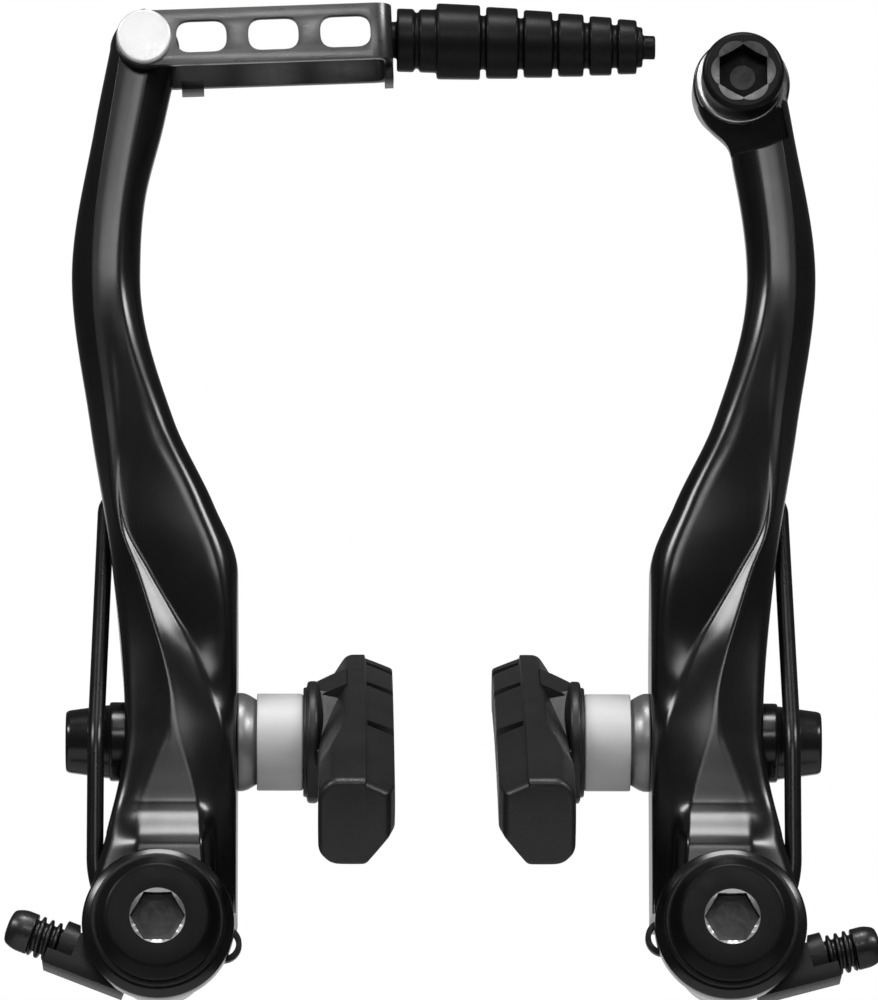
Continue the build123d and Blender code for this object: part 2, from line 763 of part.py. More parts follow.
# Cable link, drawn in place: a sheet bent to a U in plan, hung on the left arm's rivet
tilt = radians(link_tilt)
link_way = Vector(cos(tilt), 0, sin(tilt))
link_up = Vector(-sin(tilt), 0, cos(tilt))
rivet_point = Vector(link_offset - pivot_spacing / 2, 0, link_height)
plate_back_depth = upper_front_depth + link_washer_depth + running_clearance
plate_front_depth = plate_back_depth + sheet
rail_front_depth = upper_back_depth - side_clearance
link_middle_depth = (plate_back_depth + rail_front_depth) / 2
link_plan = Plane(origin=rivet_point, x_dir=link_way, z_dir=link_up)
end_plane = Plane(origin=rivet_point + link_way * link_length, x_dir=(0, -1, 0), z_dir=link_way * -1)


def link_face(depth):
    """Sketch plane towards the viewer at a depth, with its origin on the rivet and x along the link."""
    return Plane(origin=rivet_point - Vector(0, depth, 0), x_dir=link_way, z_dir=(0, -1, 0))


with BuildPart() as link_holder:
    span = plate_front_depth - rail_front_depth + sheet
    with BuildSketch(link_plan):
        with Locations((link_length, -plate_front_depth)):
            Rectangle(2 * link_length, span, align=(Align.MAX, Align.MIN))
    extrude(amount=link_half_height, both=True)
    fillet(edges().filter_by(Axis((0, 0, 0), link_up)).group_by(Axis.X)[-1], link_bend_radius)
    with BuildSketch(link_plan):
        with Locations((link_length - sheet, -plate_back_depth)):
            Rectangle(2 * link_length, span - 2 * sheet, align=(Align.MAX, Align.MIN))
    extrude(amount=2 * link_half_height, both=True, mode=Mode.SUBTRACT)
    with BuildSketch(link_face(0)):
        Circle(link_half_height)
        Rectangle(2 * link_length, 2 * link_half_height, align=(Align.MIN, Align.CENTER))
    extrude(amount=2 * plate_front_depth, mode=Mode.INTERSECT)
    with BuildSketch(link_face(rail_front_depth)):
        with Locations((link_half_height, rear_rail_height - link_half_height)):
            Rectangle(
                link_length - link_half_height - 2 * sheet, 2 * link_half_height,
                align=(Align.MIN, Align.MIN),
            )
    extrude(amount=-2 * sheet, mode=Mode.SUBTRACT)
    with BuildSketch(link_face(rail_front_depth)):
        with Locations((stop_tab_place, -link_half_height + sheet)):
            Rectangle(stop_tab_width, stop_tab_drop + sheet, align=(Align.CENTER, Align.MAX))
    extrude(amount=-sheet)
    with BuildSketch(link_face(rail_front_depth)):
        with Locations((stop_tab_place, -link_half_height - stop_tab_drop)):
            Rectangle(stop_tab_width, sheet, align=(Align.CENTER, Align.MIN))
    extrude(amount=stop_tab_reach)
    with BuildSketch(end_plane):
        with Locations((link_middle_depth, -link_half_height + sheet)):
            Rectangle(end_tab_width, end_tab_drop + sheet, align=(Align.CENTER, Align.MAX))
    extrude(amount=sheet)
    with BuildSketch(end_plane):
        with Locations((link_middle_depth, boot_rise)):
            Circle(keyhole_radius)
            Rectangle(keyhole_neck, 2 * link_half_height, align=(Align.CENTER, Align.MIN))
    extrude(amount=sheet, mode=Mode.SUBTRACT)
    with BuildSketch(link_face(plate_back_depth)):
        with Locations([(first_window + number * window_pitch, 0) for number in range(3)]):
            RectangleRounded(window_length, window_height, window_height * 0.45)
    extrude(amount=2 * sheet, mode=Mode.SUBTRACT)
    with BuildSketch(link_face(0)):
        Circle(rivet_radius + running_clearance)
    extrude(amount=2 * plate_front_depth, mode=Mode.SUBTRACT)

with BuildPart() as link_washer:
    with BuildSketch(link_face(upper_front_depth)):
        Circle(link_washer_radius)
        Circle(rivet_radius + running_clearance, mode=Mode.SUBTRACT)
    extrude(amount=link_washer_depth)

with BuildPart() as link_rivet:
    rivet_back_depth = rail_front_depth - sheet - running_clearance
    rivet_front_depth = plate_front_depth + running_clearance
    with BuildSketch(link_face(rivet_back_depth)):
        Circle(rivet_radius)
    extrude(amount=rivet_front_depth - rivet_back_depth)
    with BuildSketch(link_face(rivet_front_depth)):
        Circle(rivet_head_radius)
    extrude(amount=rivet_head_depth)
    with BuildSketch(link_face(rivet_back_depth)):
        Circle(rivet_head_radius - rivet_head_depth / 2)
    extrude(amount=-rivet_head_depth)
    chamfer(faces().sort_by(Axis.Y)[0].edges(), rivet_head_depth / 3)

# Bellows boot, turned about its own axis from the keyhole towards the right arm
droop = radians(boot_droop)
boot_way = Vector(cos(droop), 0, -sin(droop))
boot_start = rivet_point + link_way * link_length + Vector(0, -link_middle_depth, boot_rise)
boot_plane = Plane(origin=boot_start, x_dir=boot_way, z_dir=(sin(droop), 0, cos(droop)))
boot_axis = Axis(boot_start, boot_way)
lip_back = -sheet - side_clearance
neck_end = boot_gap + boot_neck_length
boot_points = [
    (lip_back - boot_lip_length, boot_plug_radius), (lip_back - boot_lip_length / 2, boot_plug_lip),
    (lip_back, boot_plug_lip), (lip_back, boot_plug_radius), (boot_gap, boot_plug_radius),
    (boot_gap, boot_neck_radius), (boot_gap + boot_neck_length * 0.42, boot_neck_radius),
    (boot_gap + boot_neck_length * 0.46, boot_neck_groove),
    (boot_gap + boot_neck_length * 0.54, boot_neck_groove),
    (boot_gap + boot_neck_length * 0.58, boot_neck_radius), (neck_end, boot_neck_radius),
]
rib_start = neck_end
for number in range(rib_count):
    part = number / (rib_count - 1)
    rib_radius = first_rib_radius + (last_rib_radius - first_rib_radius) * part
    groove_radius = first_groove_radius + (last_groove_radius - first_groove_radius) * part
    later_length = second_rib_length + (last_rib_length - second_rib_length) * (number - 1) / (rib_count - 2)
    rib_length = later_length if number else first_rib_length
    boot_points += [
        (rib_start, rib_radius - rib_chamfer), (rib_start + rib_chamfer, rib_radius),
        (rib_start + rib_length - rib_chamfer, rib_radius),
        (rib_start + rib_length, rib_radius - rib_chamfer),
        (rib_start + rib_length, groove_radius), (rib_start + rib_length + rib_gap, groove_radius),
    ]
    rib_start += rib_length + rib_gap
boot_end = rib_start + boot_tip_length
with BuildPart() as cable_boot:
    with BuildSketch(boot_plane):
        with BuildLine():
            Polyline(
                (lip_back - boot_lip_length, boot_bore_radius), *boot_points, (rib_start, boot_tip_radius),
                (boot_end, boot_tip_radius), (boot_end, boot_bore_radius), close=True,
            )
        make_face()
    revolve(axis=boot_axis)

# Cable anchor on the right arm: a socket bolt with a washer that clamps the cable
anchor_plane = Plane(origin=(anchor_offset, 0, anchor_height))
anchor_axis = Axis((anchor_offset, 0, anchor_height), (0, 1, 0))
head_back_depth = anchor_seat_depth + cable_washer_depth
head_front_depth = head_back_depth + cable_head_depth
with BuildPart() as cable_washer:
    with BuildSketch(facing(anchor_seat_depth)):
        with Locations((anchor_offset, anchor_height)):
            Circle(cable_washer_radius)
            Circle(bolt_radius + side_clearance, mode=Mode.SUBTRACT)
    extrude(amount=cable_washer_depth)

with BuildPart() as cable_bolt:
    cable_mouth_radius = hex_corner * socket_across_flats / 2 + socket_chamfer
    with BuildSketch(facing(head_back_depth)):
        with Locations((anchor_offset, anchor_height)):
            Circle(cable_head_radius)
    extrude(amount=cable_head_depth)
    chamfer(faces().sort_by(Axis.Y)[0].edges(), cable_head_round)
    with BuildSketch(facing(head_back_depth)):
        with Locations((anchor_offset, anchor_height)):
            Circle(bolt_radius)
    extrude(amount=-cable_washer_depth - cable_bolt_length)
    with BuildSketch(facing(head_front_depth)):
        with Locations((anchor_offset, anchor_height)):
            RegularPolygon(socket_across_flats / 2, 6, major_radius=False, rotation=30)
    extrude(amount=-cable_socket_depth, mode=Mode.SUBTRACT)
    with BuildSketch(anchor_plane):
        with BuildLine():
            Polyline(
                (0, -head_front_depth), (cable_mouth_radius, -head_front_depth),
                (cable_mouth_radius - 2 * socket_chamfer, 2 * socket_chamfer - head_front_depth),
                (0, 2 * socket_chamfer - head_front_depth), close=True,
            )
        make_face()
    revolve(axis=anchor_axis, mode=Mode.SUBTRACT)

# Pieces of each side, set at their own pivot; the right side is the mirror image of the left
paired = {
    "pivot_bush": pivot_bush, "dust_washer": dust_washer, "fixing_bolt": fixing_bolt,
    "inner_dome_washer": domes["inner"], "inner_cup_washer": cups["inner"],
    "outer_dome_washer": domes["outer"], "outer_cup_washer": cups["outer"], "shoe_nut": shoe_nut,
    "shoe_post": shoe_post, "shoe_pad": shoe_pad, "return_spring": return_spring,
    "spring_holder": spring_holder, "adjuster_screw": adjuster_screw,
}
left_turn = {"spring_holder": holder_turn, "adjuster_screw": holder_turn}
placed = {
    "link_holder": link_holder.part, "link_washer": link_washer.part, "link_rivet": link_rivet.part,
    "cable_boot": cable_boot.part, "left_arm": left_arm.part.moved(Location((-pivot_spacing / 2, 0, 0))),
}
for name, piece in paired.items():
    turned = piece.part.rotate(Axis.Y, left_turn.get(name, 0))
    placed["left_" + name] = turned.moved(Location((-pivot_spacing / 2, 0, 0)))
    turned_back = piece.part.rotate(Axis.Y, -left_turn.get(name, 0))
    placed["right_" + name] = mirror(turned_back, about=Plane.YZ).moved(Location((pivot_spacing / 2, 0, 0)))
for name, piece in {"right_arm": right_arm, "cable_washer": cable_washer, "cable_bolt": cable_bolt}.items():
    placed[name] = mirror(piece.part, about=Plane.YZ).moved(Location((pivot_spacing / 2, 0, 0)))
for name, shape in placed.items():
    shape.label = name
    export_step(shape, f"parts/{name}.step")
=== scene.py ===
from math import cos, pi, radians, sin, sqrt

import bpy
import numpy as np
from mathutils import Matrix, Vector


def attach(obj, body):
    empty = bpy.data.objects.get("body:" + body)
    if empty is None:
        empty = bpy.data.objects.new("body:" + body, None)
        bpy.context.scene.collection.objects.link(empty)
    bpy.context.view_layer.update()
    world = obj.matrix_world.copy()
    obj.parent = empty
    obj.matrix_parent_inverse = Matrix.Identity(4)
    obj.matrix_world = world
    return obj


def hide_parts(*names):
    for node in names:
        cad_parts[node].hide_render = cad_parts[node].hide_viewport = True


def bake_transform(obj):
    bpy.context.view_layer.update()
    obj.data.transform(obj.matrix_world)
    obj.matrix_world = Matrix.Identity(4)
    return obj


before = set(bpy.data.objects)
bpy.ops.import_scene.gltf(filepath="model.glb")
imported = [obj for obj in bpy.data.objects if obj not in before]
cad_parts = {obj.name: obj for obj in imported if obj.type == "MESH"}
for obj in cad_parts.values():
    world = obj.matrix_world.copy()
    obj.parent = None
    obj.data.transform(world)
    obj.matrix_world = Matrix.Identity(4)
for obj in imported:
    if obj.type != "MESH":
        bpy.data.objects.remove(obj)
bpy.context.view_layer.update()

# Sizes are in millimetres, as in the part's source. Pieces of one side are worked out about the left pivot,
# with +X towards the wheel, and the right side is their mirror image. Depth is the distance in front of the
# seat plane.
MM = 0.001
PIVOT_SPACING = 70.6
PIVOT_REACH = PIVOT_SPACING / 2000  # from the middle to each pivot, in metres
SIDES = {"left": -1, "right": 1}


# Grids, turned shapes and outlines

def add_object(name, data):
    """New object in the scene."""
    piece = bpy.data.objects.new(name, data)
    bpy.context.scene.collection.objects.link(piece)
    return piece


def add_mesh(name, points, faces, crease=35.0):
    """Mesh object from points in millimetres, turned so that its volume is positive, and smooth up to a crease
    angle."""
    mesh = bpy.data.meshes.new(name)
    mesh.from_pydata((points * MM).tolist(), [], faces)
    mesh.validate()
    mesh.update()
    mesh.calc_loop_triangles()
    corners = np.zeros(len(mesh.loop_triangles) * 3, np.int64)
    mesh.loop_triangles.foreach_get("vertices", corners)
    a, b, c = points[corners.reshape(-1, 3)].transpose(1, 0, 2)
    if np.einsum("ij,ij->i", a, np.cross(b, c)).sum() < 0:
        mesh.flip_normals()
    mesh.shade_smooth()
    mesh.set_sharp_from_angle(angle=radians(crease))
    return add_object(name, mesh)


def grid_faces(rows, columns, closed):
    """Quads of a grid whose columns wrap round; its rows wrap too when closed, else both ends are capped."""
    index = np.arange(rows * columns).reshape(rows, columns)
    upper = np.roll(index, -1, axis=0) if closed else index[1:]
    lower = index if closed else index[:-1]
    quads = np.stack([lower, np.roll(lower, -1, axis=1), np.roll(upper, -1, axis=1), upper], axis=-1)
    faces = quads.reshape(-1, 4).tolist()
    return faces if closed else faces + [index[0, ::-1].tolist(), index[-1].tolist()]


def add_grid(name, grid, closed=False, crease=35.0):
    """Mesh object from a grid of points shaped (rows, columns, 3)."""
    rows, columns = grid.shape[:2]
    return add_mesh(name, grid.reshape(-1, 3), grid_faces(rows, columns, closed), crease)


def eased(points, reach, steps=5):
    """Open line with each inner corner replaced by a parabola that starts and ends a reach from the corner."""
    points = np.asarray(points, float)
    corner, before, after = points[1:-1], points[:-2] - points[1:-1], points[2:] - points[1:-1]
    reach = np.broadcast_to(np.asarray(reach, float), len(corner))[:, None]
    start = corner + before * np.minimum(reach / np.linalg.norm(before, axis=1, keepdims=True), 0.48)
    end = corner + after * np.minimum(reach / np.linalg.norm(after, axis=1, keepdims=True), 0.48)
    t = np.linspace(0, 1, steps)[None, :, None]
    arcs = (1 - t) ** 2 * start[:, None] + 2 * t * (1 - t) * corner[:, None] + t**2 * end[:, None]
    return np.concatenate([points[:1], arcs.reshape(-1, points.shape[1]), points[-1:]])


def eased_loop(points, reach, steps=5):
    """Closed line with its corners eased in the same way."""
    points = np.asarray(points, float)
    wrapped = np.concatenate([points[-1:], points, points[:1]])
    return eased(wrapped, reach, steps)[1:-1]


def six_sided(angles, turn):
    """Ratio of a hexagon's edge distance to its corner distance at each angle, with a corner at turn."""
    return cos(pi / 6) / np.cos((angles - turn) % (pi / 3) - pi / 6)


def cross_sided(angles, thin):
    """Ratio of a cross's edge distance to its arm's length at each angle; an arm's half-width is thin times its
    length."""
    fold = np.abs((angles + pi / 4) % (pi / 2) - pi / 4)
    return np.minimum(1 / np.cos(fold), thin / np.maximum(np.sin(fold), 1e-6))


def turned(name, profile, origin, axis, up=(0, 0, 1), closed=True, around=96, shape=None, crease=35.0):
    """Surface turned about an axis: each profile row is (radius, distance along the axis).
    With shape, a row's third value mixes the circle with shape(angle), and its fourth is the rise of
    the distance for each millimetre that the edge stands inside the row's radius."""
    profile = np.asarray(profile, float)
    axis, up = np.asarray(axis, float), np.asarray(up, float)
    across = np.cross(axis, up)
    angles = np.arange(around) * 2 * pi / around
    ratio = np.ones((len(profile), around))
    distance = np.repeat(profile[:, 1:2], around, axis=1)
    if shape is not None:
        ratio = 1 - profile[:, 2:3] + profile[:, 2:3] * shape(angles)[None]
        distance = distance + profile[:, 3:4] * profile[:, :1] * (1 - ratio)
    radius = profile[:, :1] * ratio
    spoke = np.cos(angles)[:, None] * up + np.sin(angles)[:, None] * across
    grid = np.asarray(origin, float) + radius[..., None] * spoke[None] + distance[..., None] * axis
    return add_grid(name, grid, closed, crease)


def prism(name, outline, origin, x_way, y_way, low, high):
    """A flat outline carried along a straight line between two distances."""
    x_way, y_way = np.asarray(x_way, float), np.asarray(y_way, float)
    flat = np.asarray(outline, float)
    foot = np.asarray(origin, float) + flat[:, :1] * x_way + flat[:, 1:] * y_way
    way = np.cross(x_way, y_way)
    return add_grid(name, np.stack([foot + low * way, foot + high * way]))


def circle(radius, x=0.0, y=0.0, around=96):
    """Points round a circle."""
    angles = np.arange(around) * 2 * pi / around
    return np.stack([x + radius * np.cos(angles), y + radius * np.sin(angles)], axis=1)


def slot(length, width, around=48):
    """Outline of a slot along x: half circles about the two ends of a middle line."""
    angles = (np.arange(around) + 0.5) * 2 * pi / around
    shift = np.where(np.cos(angles) > 0, 1, -1) * (length - width) / 2
    return np.stack([width / 2 * np.cos(angles) + shift, width / 2 * np.sin(angles)], axis=1)


def box(x_low, x_high, y_low, y_high):
    """Corners of a rectangle."""
    return np.array([(x_low, y_low), (x_high, y_low), (x_high, y_high), (x_low, y_high)], float)


def keep_shape(piece, crease):
    """Makes the result of a piece's modifiers its own mesh, smooth up to a crease angle."""
    bpy.context.view_layer.update()
    seen = piece.evaluated_get(bpy.context.evaluated_depsgraph_get())
    mesh = bpy.data.meshes.new_from_object(seen)
    piece.modifiers.clear()
    piece.data = mesh
    mesh.shade_smooth()
    mesh.set_sharp_from_angle(angle=radians(crease))
    return piece


def carve(piece, joins=(), cuts=(), crease=35.0):
    """Joins and cuts closed meshes to a piece, and keeps the result as the piece's own mesh."""
    tools = [(tool, "UNION") for tool in joins] + [(tool, "DIFFERENCE") for tool in cuts]
    for tool, operation in tools:
        step = piece.modifiers.new(tool.name, "BOOLEAN")
        step.operation, step.object, step.solver = operation, tool, "MANIFOLD"
    keep_shape(piece, crease)
    for tool, operation in tools:
        bpy.data.objects.remove(tool)
    return piece


def settle(piece, side):
    """Moves a piece worked out about the left pivot to its side; the right one is mirrored, facing outwards."""
    points = np.zeros(len(piece.data.vertices) * 3, np.float32)
    piece.data.vertices.foreach_get("co", points)
    points = points.reshape(-1, 3)
    if side == "right":
        points = points * (-1, 1, 1)
    points = points + (SIDES[side] * PIVOT_REACH, 0, 0)
    piece.data.vertices.foreach_set("co", points.astype(np.float32).ravel())
    if side == "right":
        piece.data.flip_normals()
    piece.data.update()
    return piece


def hand_over(piece, slot_name, body, node):
    """Gives a piece its finish and its body, and lets it stand for a CAD node."""
    piece.data.materials.clear()
    piece.data.materials.append(finishes[slot_name])
    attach(piece, body)
    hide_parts(node)
    return piece


# Finishes, in a table of their own because the frame's plain ones have the same names. The bushes and the shoe
# posts stay CAD nodes with the frame's finish.
finishes = {}


def finish_nodes(name):
    """New material with its node tree, its principled shader and Object coordinates."""
    material = bpy.data.materials.new(name)
    material.use_nodes = True
    tree = material.node_tree
    shader = tree.nodes["Principled BSDF"]
    place = tree.nodes.new("ShaderNodeTexCoord").outputs["Object"]
    return material, tree, shader, place


def mottle(tree, place, scale, detail=4.0, stretch=(1, 1, 1)):
    """Noise on Object coordinates, stretched along the axes; scale is in cycles for each metre."""
    mapping = tree.nodes.new("ShaderNodeMapping")
    mapping.inputs["Scale"].default_value = stretch
    tree.links.new(place, mapping.inputs["Vector"])
    noise = tree.nodes.new("ShaderNodeTexNoise")
    noise.inputs["Scale"].default_value = scale
    noise.inputs["Detail"].default_value = detail
    noise.inputs["Roughness"].default_value = 0.55
    tree.links.new(mapping.outputs["Vector"], noise.inputs["Vector"])
    return noise.outputs["Fac"]


def ramp(tree, value, dark, light):
    """Grey that goes from dark to light as a noise value goes through the middle of its spread."""
    node = tree.nodes.new("ShaderNodeValToRGB")
    node.color_ramp.elements[0].position = 0.35
    node.color_ramp.elements[0].color = (dark, dark, dark, 1)
    node.color_ramp.elements[1].position = 0.65
    node.color_ramp.elements[1].color = (light, light, light, 1)
    tree.links.new(value, node.inputs["Fac"])
    return node.outputs["Color"]


def span(tree, value, low, high):
    """Number that goes from low to high as a noise value goes through its usual spread."""
    node = tree.nodes.new("ShaderNodeMapRange")
    node.inputs["From Min"].default_value = 0.3
    node.inputs["From Max"].default_value = 0.7
    node.inputs["To Min"].default_value = low
    node.inputs["To Max"].default_value = high
    tree.links.new(value, node.inputs["Value"])
    return node.outputs["Result"]


def bump(tree, shader, height, strength, depth):
    """Fine relief from a height value; depth is in metres."""
    node = tree.nodes.new("ShaderNodeBump")
    node.inputs["Strength"].default_value = strength
    node.inputs["Distance"].default_value = depth
    tree.links.new(height, node.inputs["Height"])
    tree.links.new(node.outputs["Normal"], shader.inputs["Normal"])


def finish(name, dark, light, rough, metallic=0.0, specular=0.5, grain=900.0, relief=0.1, depth=0.00005,
           cloud=120.0, stretch=(1, 1, 1)):
    """Material with clouded grey, roughness that varies between two values and a fine grain in relief."""
    material, tree, shader, place = finish_nodes(name)
    clouds = mottle(tree, place, cloud, stretch=stretch)
    fine = mottle(tree, place, grain, detail=3.0, stretch=stretch)
    tree.links.new(ramp(tree, clouds, dark, light), shader.inputs["Base Color"])
    tree.links.new(span(tree, fine, *rough), shader.inputs["Roughness"])
    shader.inputs["Metallic"].default_value = metallic
    shader.inputs["Specular IOR Level"].default_value = specular
    bump(tree, shader, fine, relief, depth)
    finishes[name] = material


smooth = {"grain": 600, "relief": 0.01, "depth": 0.00002}
finish("arm_paint", 0.003, 0.005, (0.21, 0.23), specular=0.55, **smooth)
finish("black_plastic", 0.005, 0.009, (0.38, 0.5), specular=0.35, grain=3000, relief=0.08)
finish("dark_steel", 0.005, 0.008, (0.32, 0.38), specular=0.12, **smooth)
finish("grey_washer", 0.22, 0.32, (0.36, 0.46), metallic=0.7, grain=2400, relief=0.08)
finish("silver_washer", 0.60, 0.70, (0.55, 0.65), metallic=0.2, grain=1400, relief=0.06, stretch=(0.2, 1, 1))
finish("black_nut", 0.005, 0.008, (0.2, 0.25), **smooth)
finish("pad_rubber", 0.008, 0.013, (0.36, 0.46), grain=3800, relief=0.15, depth=0.00008)
finish("spring_wire", 0.004, 0.007, (0.24, 0.28), specular=0.4, **smooth)
finish("screw_steel", 0.035, 0.06, (0.25, 0.42), metallic=0.8, grain=2600, relief=0.06)
finish("link_steel", 0.10, 0.15, (0.27, 0.33), metallic=0.8, grain=1800, relief=0.02, stretch=(0.3, 1, 1))
# Dark, dull copy of the link's steel: painted shade for the rear wall and tabs, which the front wall shades
finish("link_painted_shade", 0.008, 0.014, (0.3, 0.38), specular=0.3, grain=1800, relief=0.02)
finish("bright_rivet", 0.80, 0.88, (0.30, 0.45), metallic=0.5, grain=2600, relief=0.05)
finish("boot_rubber", 0.005, 0.008, (0.34, 0.42), specular=0.18, grain=3200, relief=0.06)
finish("plated_washer", 0.70, 0.80, (0.3, 0.36), metallic=1.0, relief=0.0)
finish("bright_edge", 0.60, 0.72, (0.3, 0.4), metallic=0.9, grain=2600, relief=0.03)
finish("socket_edge", 0.09, 0.12, (0.4, 0.55), metallic=0.4, grain=2600)
finish("socket_floor", 0.05, 0.09, (0.4, 0.6), metallic=0.3, grain=1500, relief=0.2)


# Arms: a ten-cornered section carried up the arm on smooth lines, as (height, value) points

def along(points, heights):
    """Value at each height on the curve through the points: each span is a cubic whose end slopes are the means
    of the neighbouring straight slopes, or level where the line turns back."""
    knots, values = np.array(points, float).T
    runs = np.diff(knots)
    slopes = np.diff(values) / runs
    inner = np.where(slopes[:-1] * slopes[1:] > 0, (slopes[:-1] + slopes[1:]) / 2, 0.0)
    tangents = np.concatenate([slopes[:1], inner, slopes[-1:]])
    index = np.clip(np.searchsorted(knots, heights) - 1, 0, len(runs) - 1)
    t = (heights - knots[index]) / runs[index]
    rise = (3 - 2 * t) * t * t
    bend = t * (1 - t) ** 2 * tangents[index] + t * t * (t - 1) * tangents[index + 1]
    return values[index] + (values[index + 1] - values[index]) * rise + bend * runs[index]


forward, pivot = (0, -1, 0), (0, 0, 0)
foot, flare, post, knee, apex, bow = 2.0, 12.0, 25.0, 45.5, 50.8, 84.0
half, crease_at, slope_at = (knee + bow) / 2, (post + apex) / 2, knee + 8.5
link_height, link_offset, end_radius = 113.2, -2.4, 4.45
anchor_height, anchor_offset, anchor_radius = 108.8, -2.2, 6.1
boss_radius, boss_front, boss_back = 9.4, 24.7, 20.9
bay_back, bay_radius, bore_radius = 11.5, 8.9, 5.05
leg_bay_edge = -6.5
shoulder, neck = bow + (link_height - bow) * 0.34, bow + (link_height - bow) * 0.66
anchor_run = anchor_height - bow
post_depth = 12.0
anchor_point, post_point = (anchor_offset, 0, anchor_height), (0, -post_depth, post)

outer_line = [(foot, -9.2), (flare, -6.5), (post, -4.3), (knee, -5.9), (half, -8.95), (bow, -11.4),
              (neck, -8.65), (link_height, link_offset - end_radius + 0.05)]
inner_line = [(foot, 9.6), (knee, 9.6), (slope_at, 6.6), (half, 1.6), (bow, -2.8), (shoulder, -2.25),
              (neck, -0.05), (link_height, link_offset + end_radius - 0.05)]
anchor_inner_line = [*inner_line[:5], (bow + anchor_run * 0.565, -1.15), (bow + anchor_run * 0.69, -0.35),
                     (bow + anchor_run * 0.785, 2.0), (bow + anchor_run * 0.86, 3.1), (anchor_height, 3.7)]
left_crease = [(foot, -3.6), (flare, -2.5), (16, -1.9), (19, -1.0), (22, 0.0), (post, 0.9), (30, 0.85),
               (35, -0.25), (crease_at, -1.1), (45, -3.3), (apex, -5.4), (half, -6.9), (bow, -8.8),
               (link_height, link_offset - 2.9)]
right_crease = [(foot, 6.0), (flare, 5.25), (15, 4.9), (18.5, 4.0), (21.5, 3.0), (post, 2.0), (30, 1.35),
                (35, 0.25), (crease_at, -0.6), (45, -2.75), (apex, -4.9), (half, -5.6), (bow, -7.7),
                (link_height, link_offset - 1.7)]
panel_crease = [(foot, 7.4), (flare, 6.9), (16, 6.9), (20, 7.3), (post, 7.8), (30, 6.1), (35, 4.3), (40, 1.6),
                (45, -1.3), (apex, -4.3), (half, -5.0), (bow, -5.9), (link_height, link_offset + 0.1)]
inner_crease = [(foot, 9.1), (post, 8.8), (knee, 7.5), (slope_at, 4.4), (half, -0.6), (bow, -4.9),
                (link_height, link_offset + 1.6)]
front_line = [(foot, 23.4), (7.5, 23.9), (9.6, 23.9), (15.8, 21.3), (18.5, 21.35), (post, 21.5), (apex, 20.5),
              (half, 20.1), (bow, 19.0), (link_height, 19.0)]
panel_line = [(foot, 20.4), (flare, 20.4), (post, 20.6), (30, 20.5), (35, 20.15), (crease_at, 19.8),
              (40, 19.75), (45, 20.0), (apex, 20.25), (half, 20.3), (bow, 19.05), (link_height, 19.05)]
inner_crease_line = [(foot, 19.4), (post, 19.4), (knee, 21.45), (58, 21.45), (half, 21.1), (bow, 18.85),
                     (link_height, 18.85)]
flank_line = [(foot, 22.2), (flare, 21.6), (17, 20.7), (22, 20.5), (30, 20.0), (40, 18.8), (apex, 17.6),
              (half, 16.4), (link_height, 16.4)]
inner_flank_line = [(foot, 19.4), (post, 18.3), (knee, 19.3), (half, 19.2), (bow, 16.9), (link_height, 16.4)]
back_line = [(foot, 4.5), (post + 10, 4.5), (half, 10.0), (link_height, 10.0)]
back_edge_line = [(foot, 5.5), (post + 8, 5.5), (knee + 3, 11.9), (half, 12.6), (link_height, 12.6)]
lower_reach = np.array([1.4, 1.4, 1.5, 0.6, 0.5, 0.5, 1.6, 1.6, 1.4, 1.4])
upper_reach = np.array([1.4, 1.4, 2.0, 0.12, 2.4, 2.4, 2.4, 2.0, 1.4, 1.4])


def arm_section(heights, wheel_side):
    """Corner points of the sections at all heights, shaped (heights, ten, 2)."""
    outer, inner = along(outer_line, heights), along(wheel_side, heights)
    front, flank, inner_flank = (along(line, heights) for line in (front_line, flank_line, inner_flank_line))
    back, back_edge = along(back_line, heights), along(back_edge_line, heights)
    corner = back_edge - back
    x = [outer + corner, outer, outer, along(left_crease, heights), along(right_crease, heights),
         along(panel_crease, heights), np.minimum(along(inner_crease, heights), inner - 0.5), inner, inner,
         inner - corner]
    y = [-back, -back_edge, -flank, 0.1 - front, -front, -along(panel_line, heights),
         -along(inner_crease_line, heights), -inner_flank, -back_edge, -back]
    return np.stack([np.stack(x, axis=1), np.stack(y, axis=1)], axis=-1)


def forged(corners, reach, steps=8, crown=0.0):
    """Outlines with each corner eased by a parabola and each side swelling a little between its corners.
    Corners are shaped (rows, n, 2), the reach (n) or (rows, n); a swell is crown, one or (rows), times the
    side's length."""
    before = np.roll(corners, 1, axis=1) - corners
    after = np.roll(corners, -1, axis=1) - corners
    reach = np.broadcast_to(np.asarray(reach, float), corners.shape[:2])[..., None]
    start = corners + before * np.minimum(reach / np.linalg.norm(before, axis=2, keepdims=True), 0.4)
    end = corners + after * np.minimum(reach / np.linalg.norm(after, axis=2, keepdims=True), 0.4)
    t = np.linspace(0, 1, steps)[None, None, :, None]
    arc = (1 - t) ** 2 * start[:, :, None] + 2 * t * (1 - t) * corners[:, :, None] + t**2 * end[:, :, None]
    side = np.roll(start, -1, axis=1) - end
    out = np.stack([side[..., 1], -side[..., 0]], axis=-1)
    following = np.roll(corners, -1, axis=1)
    area = corners[..., 0] * following[..., 1] - corners[..., 1] * following[..., 0]
    out = out * np.sign(area.sum(axis=1))[:, None, None]
    f = np.array([0.08, 0.3, 0.5, 0.7, 0.92])[None, None, :, None]
    crown = np.broadcast_to(np.asarray(crown, float), len(corners))[:, None, None, None]
    flat = end[:, :, None] + f * side[:, :, None] + 4 * f * (1 - f) * crown * out[:, :, None]
    return np.concatenate([arc, flat], axis=2).reshape(len(corners), -1, 2)


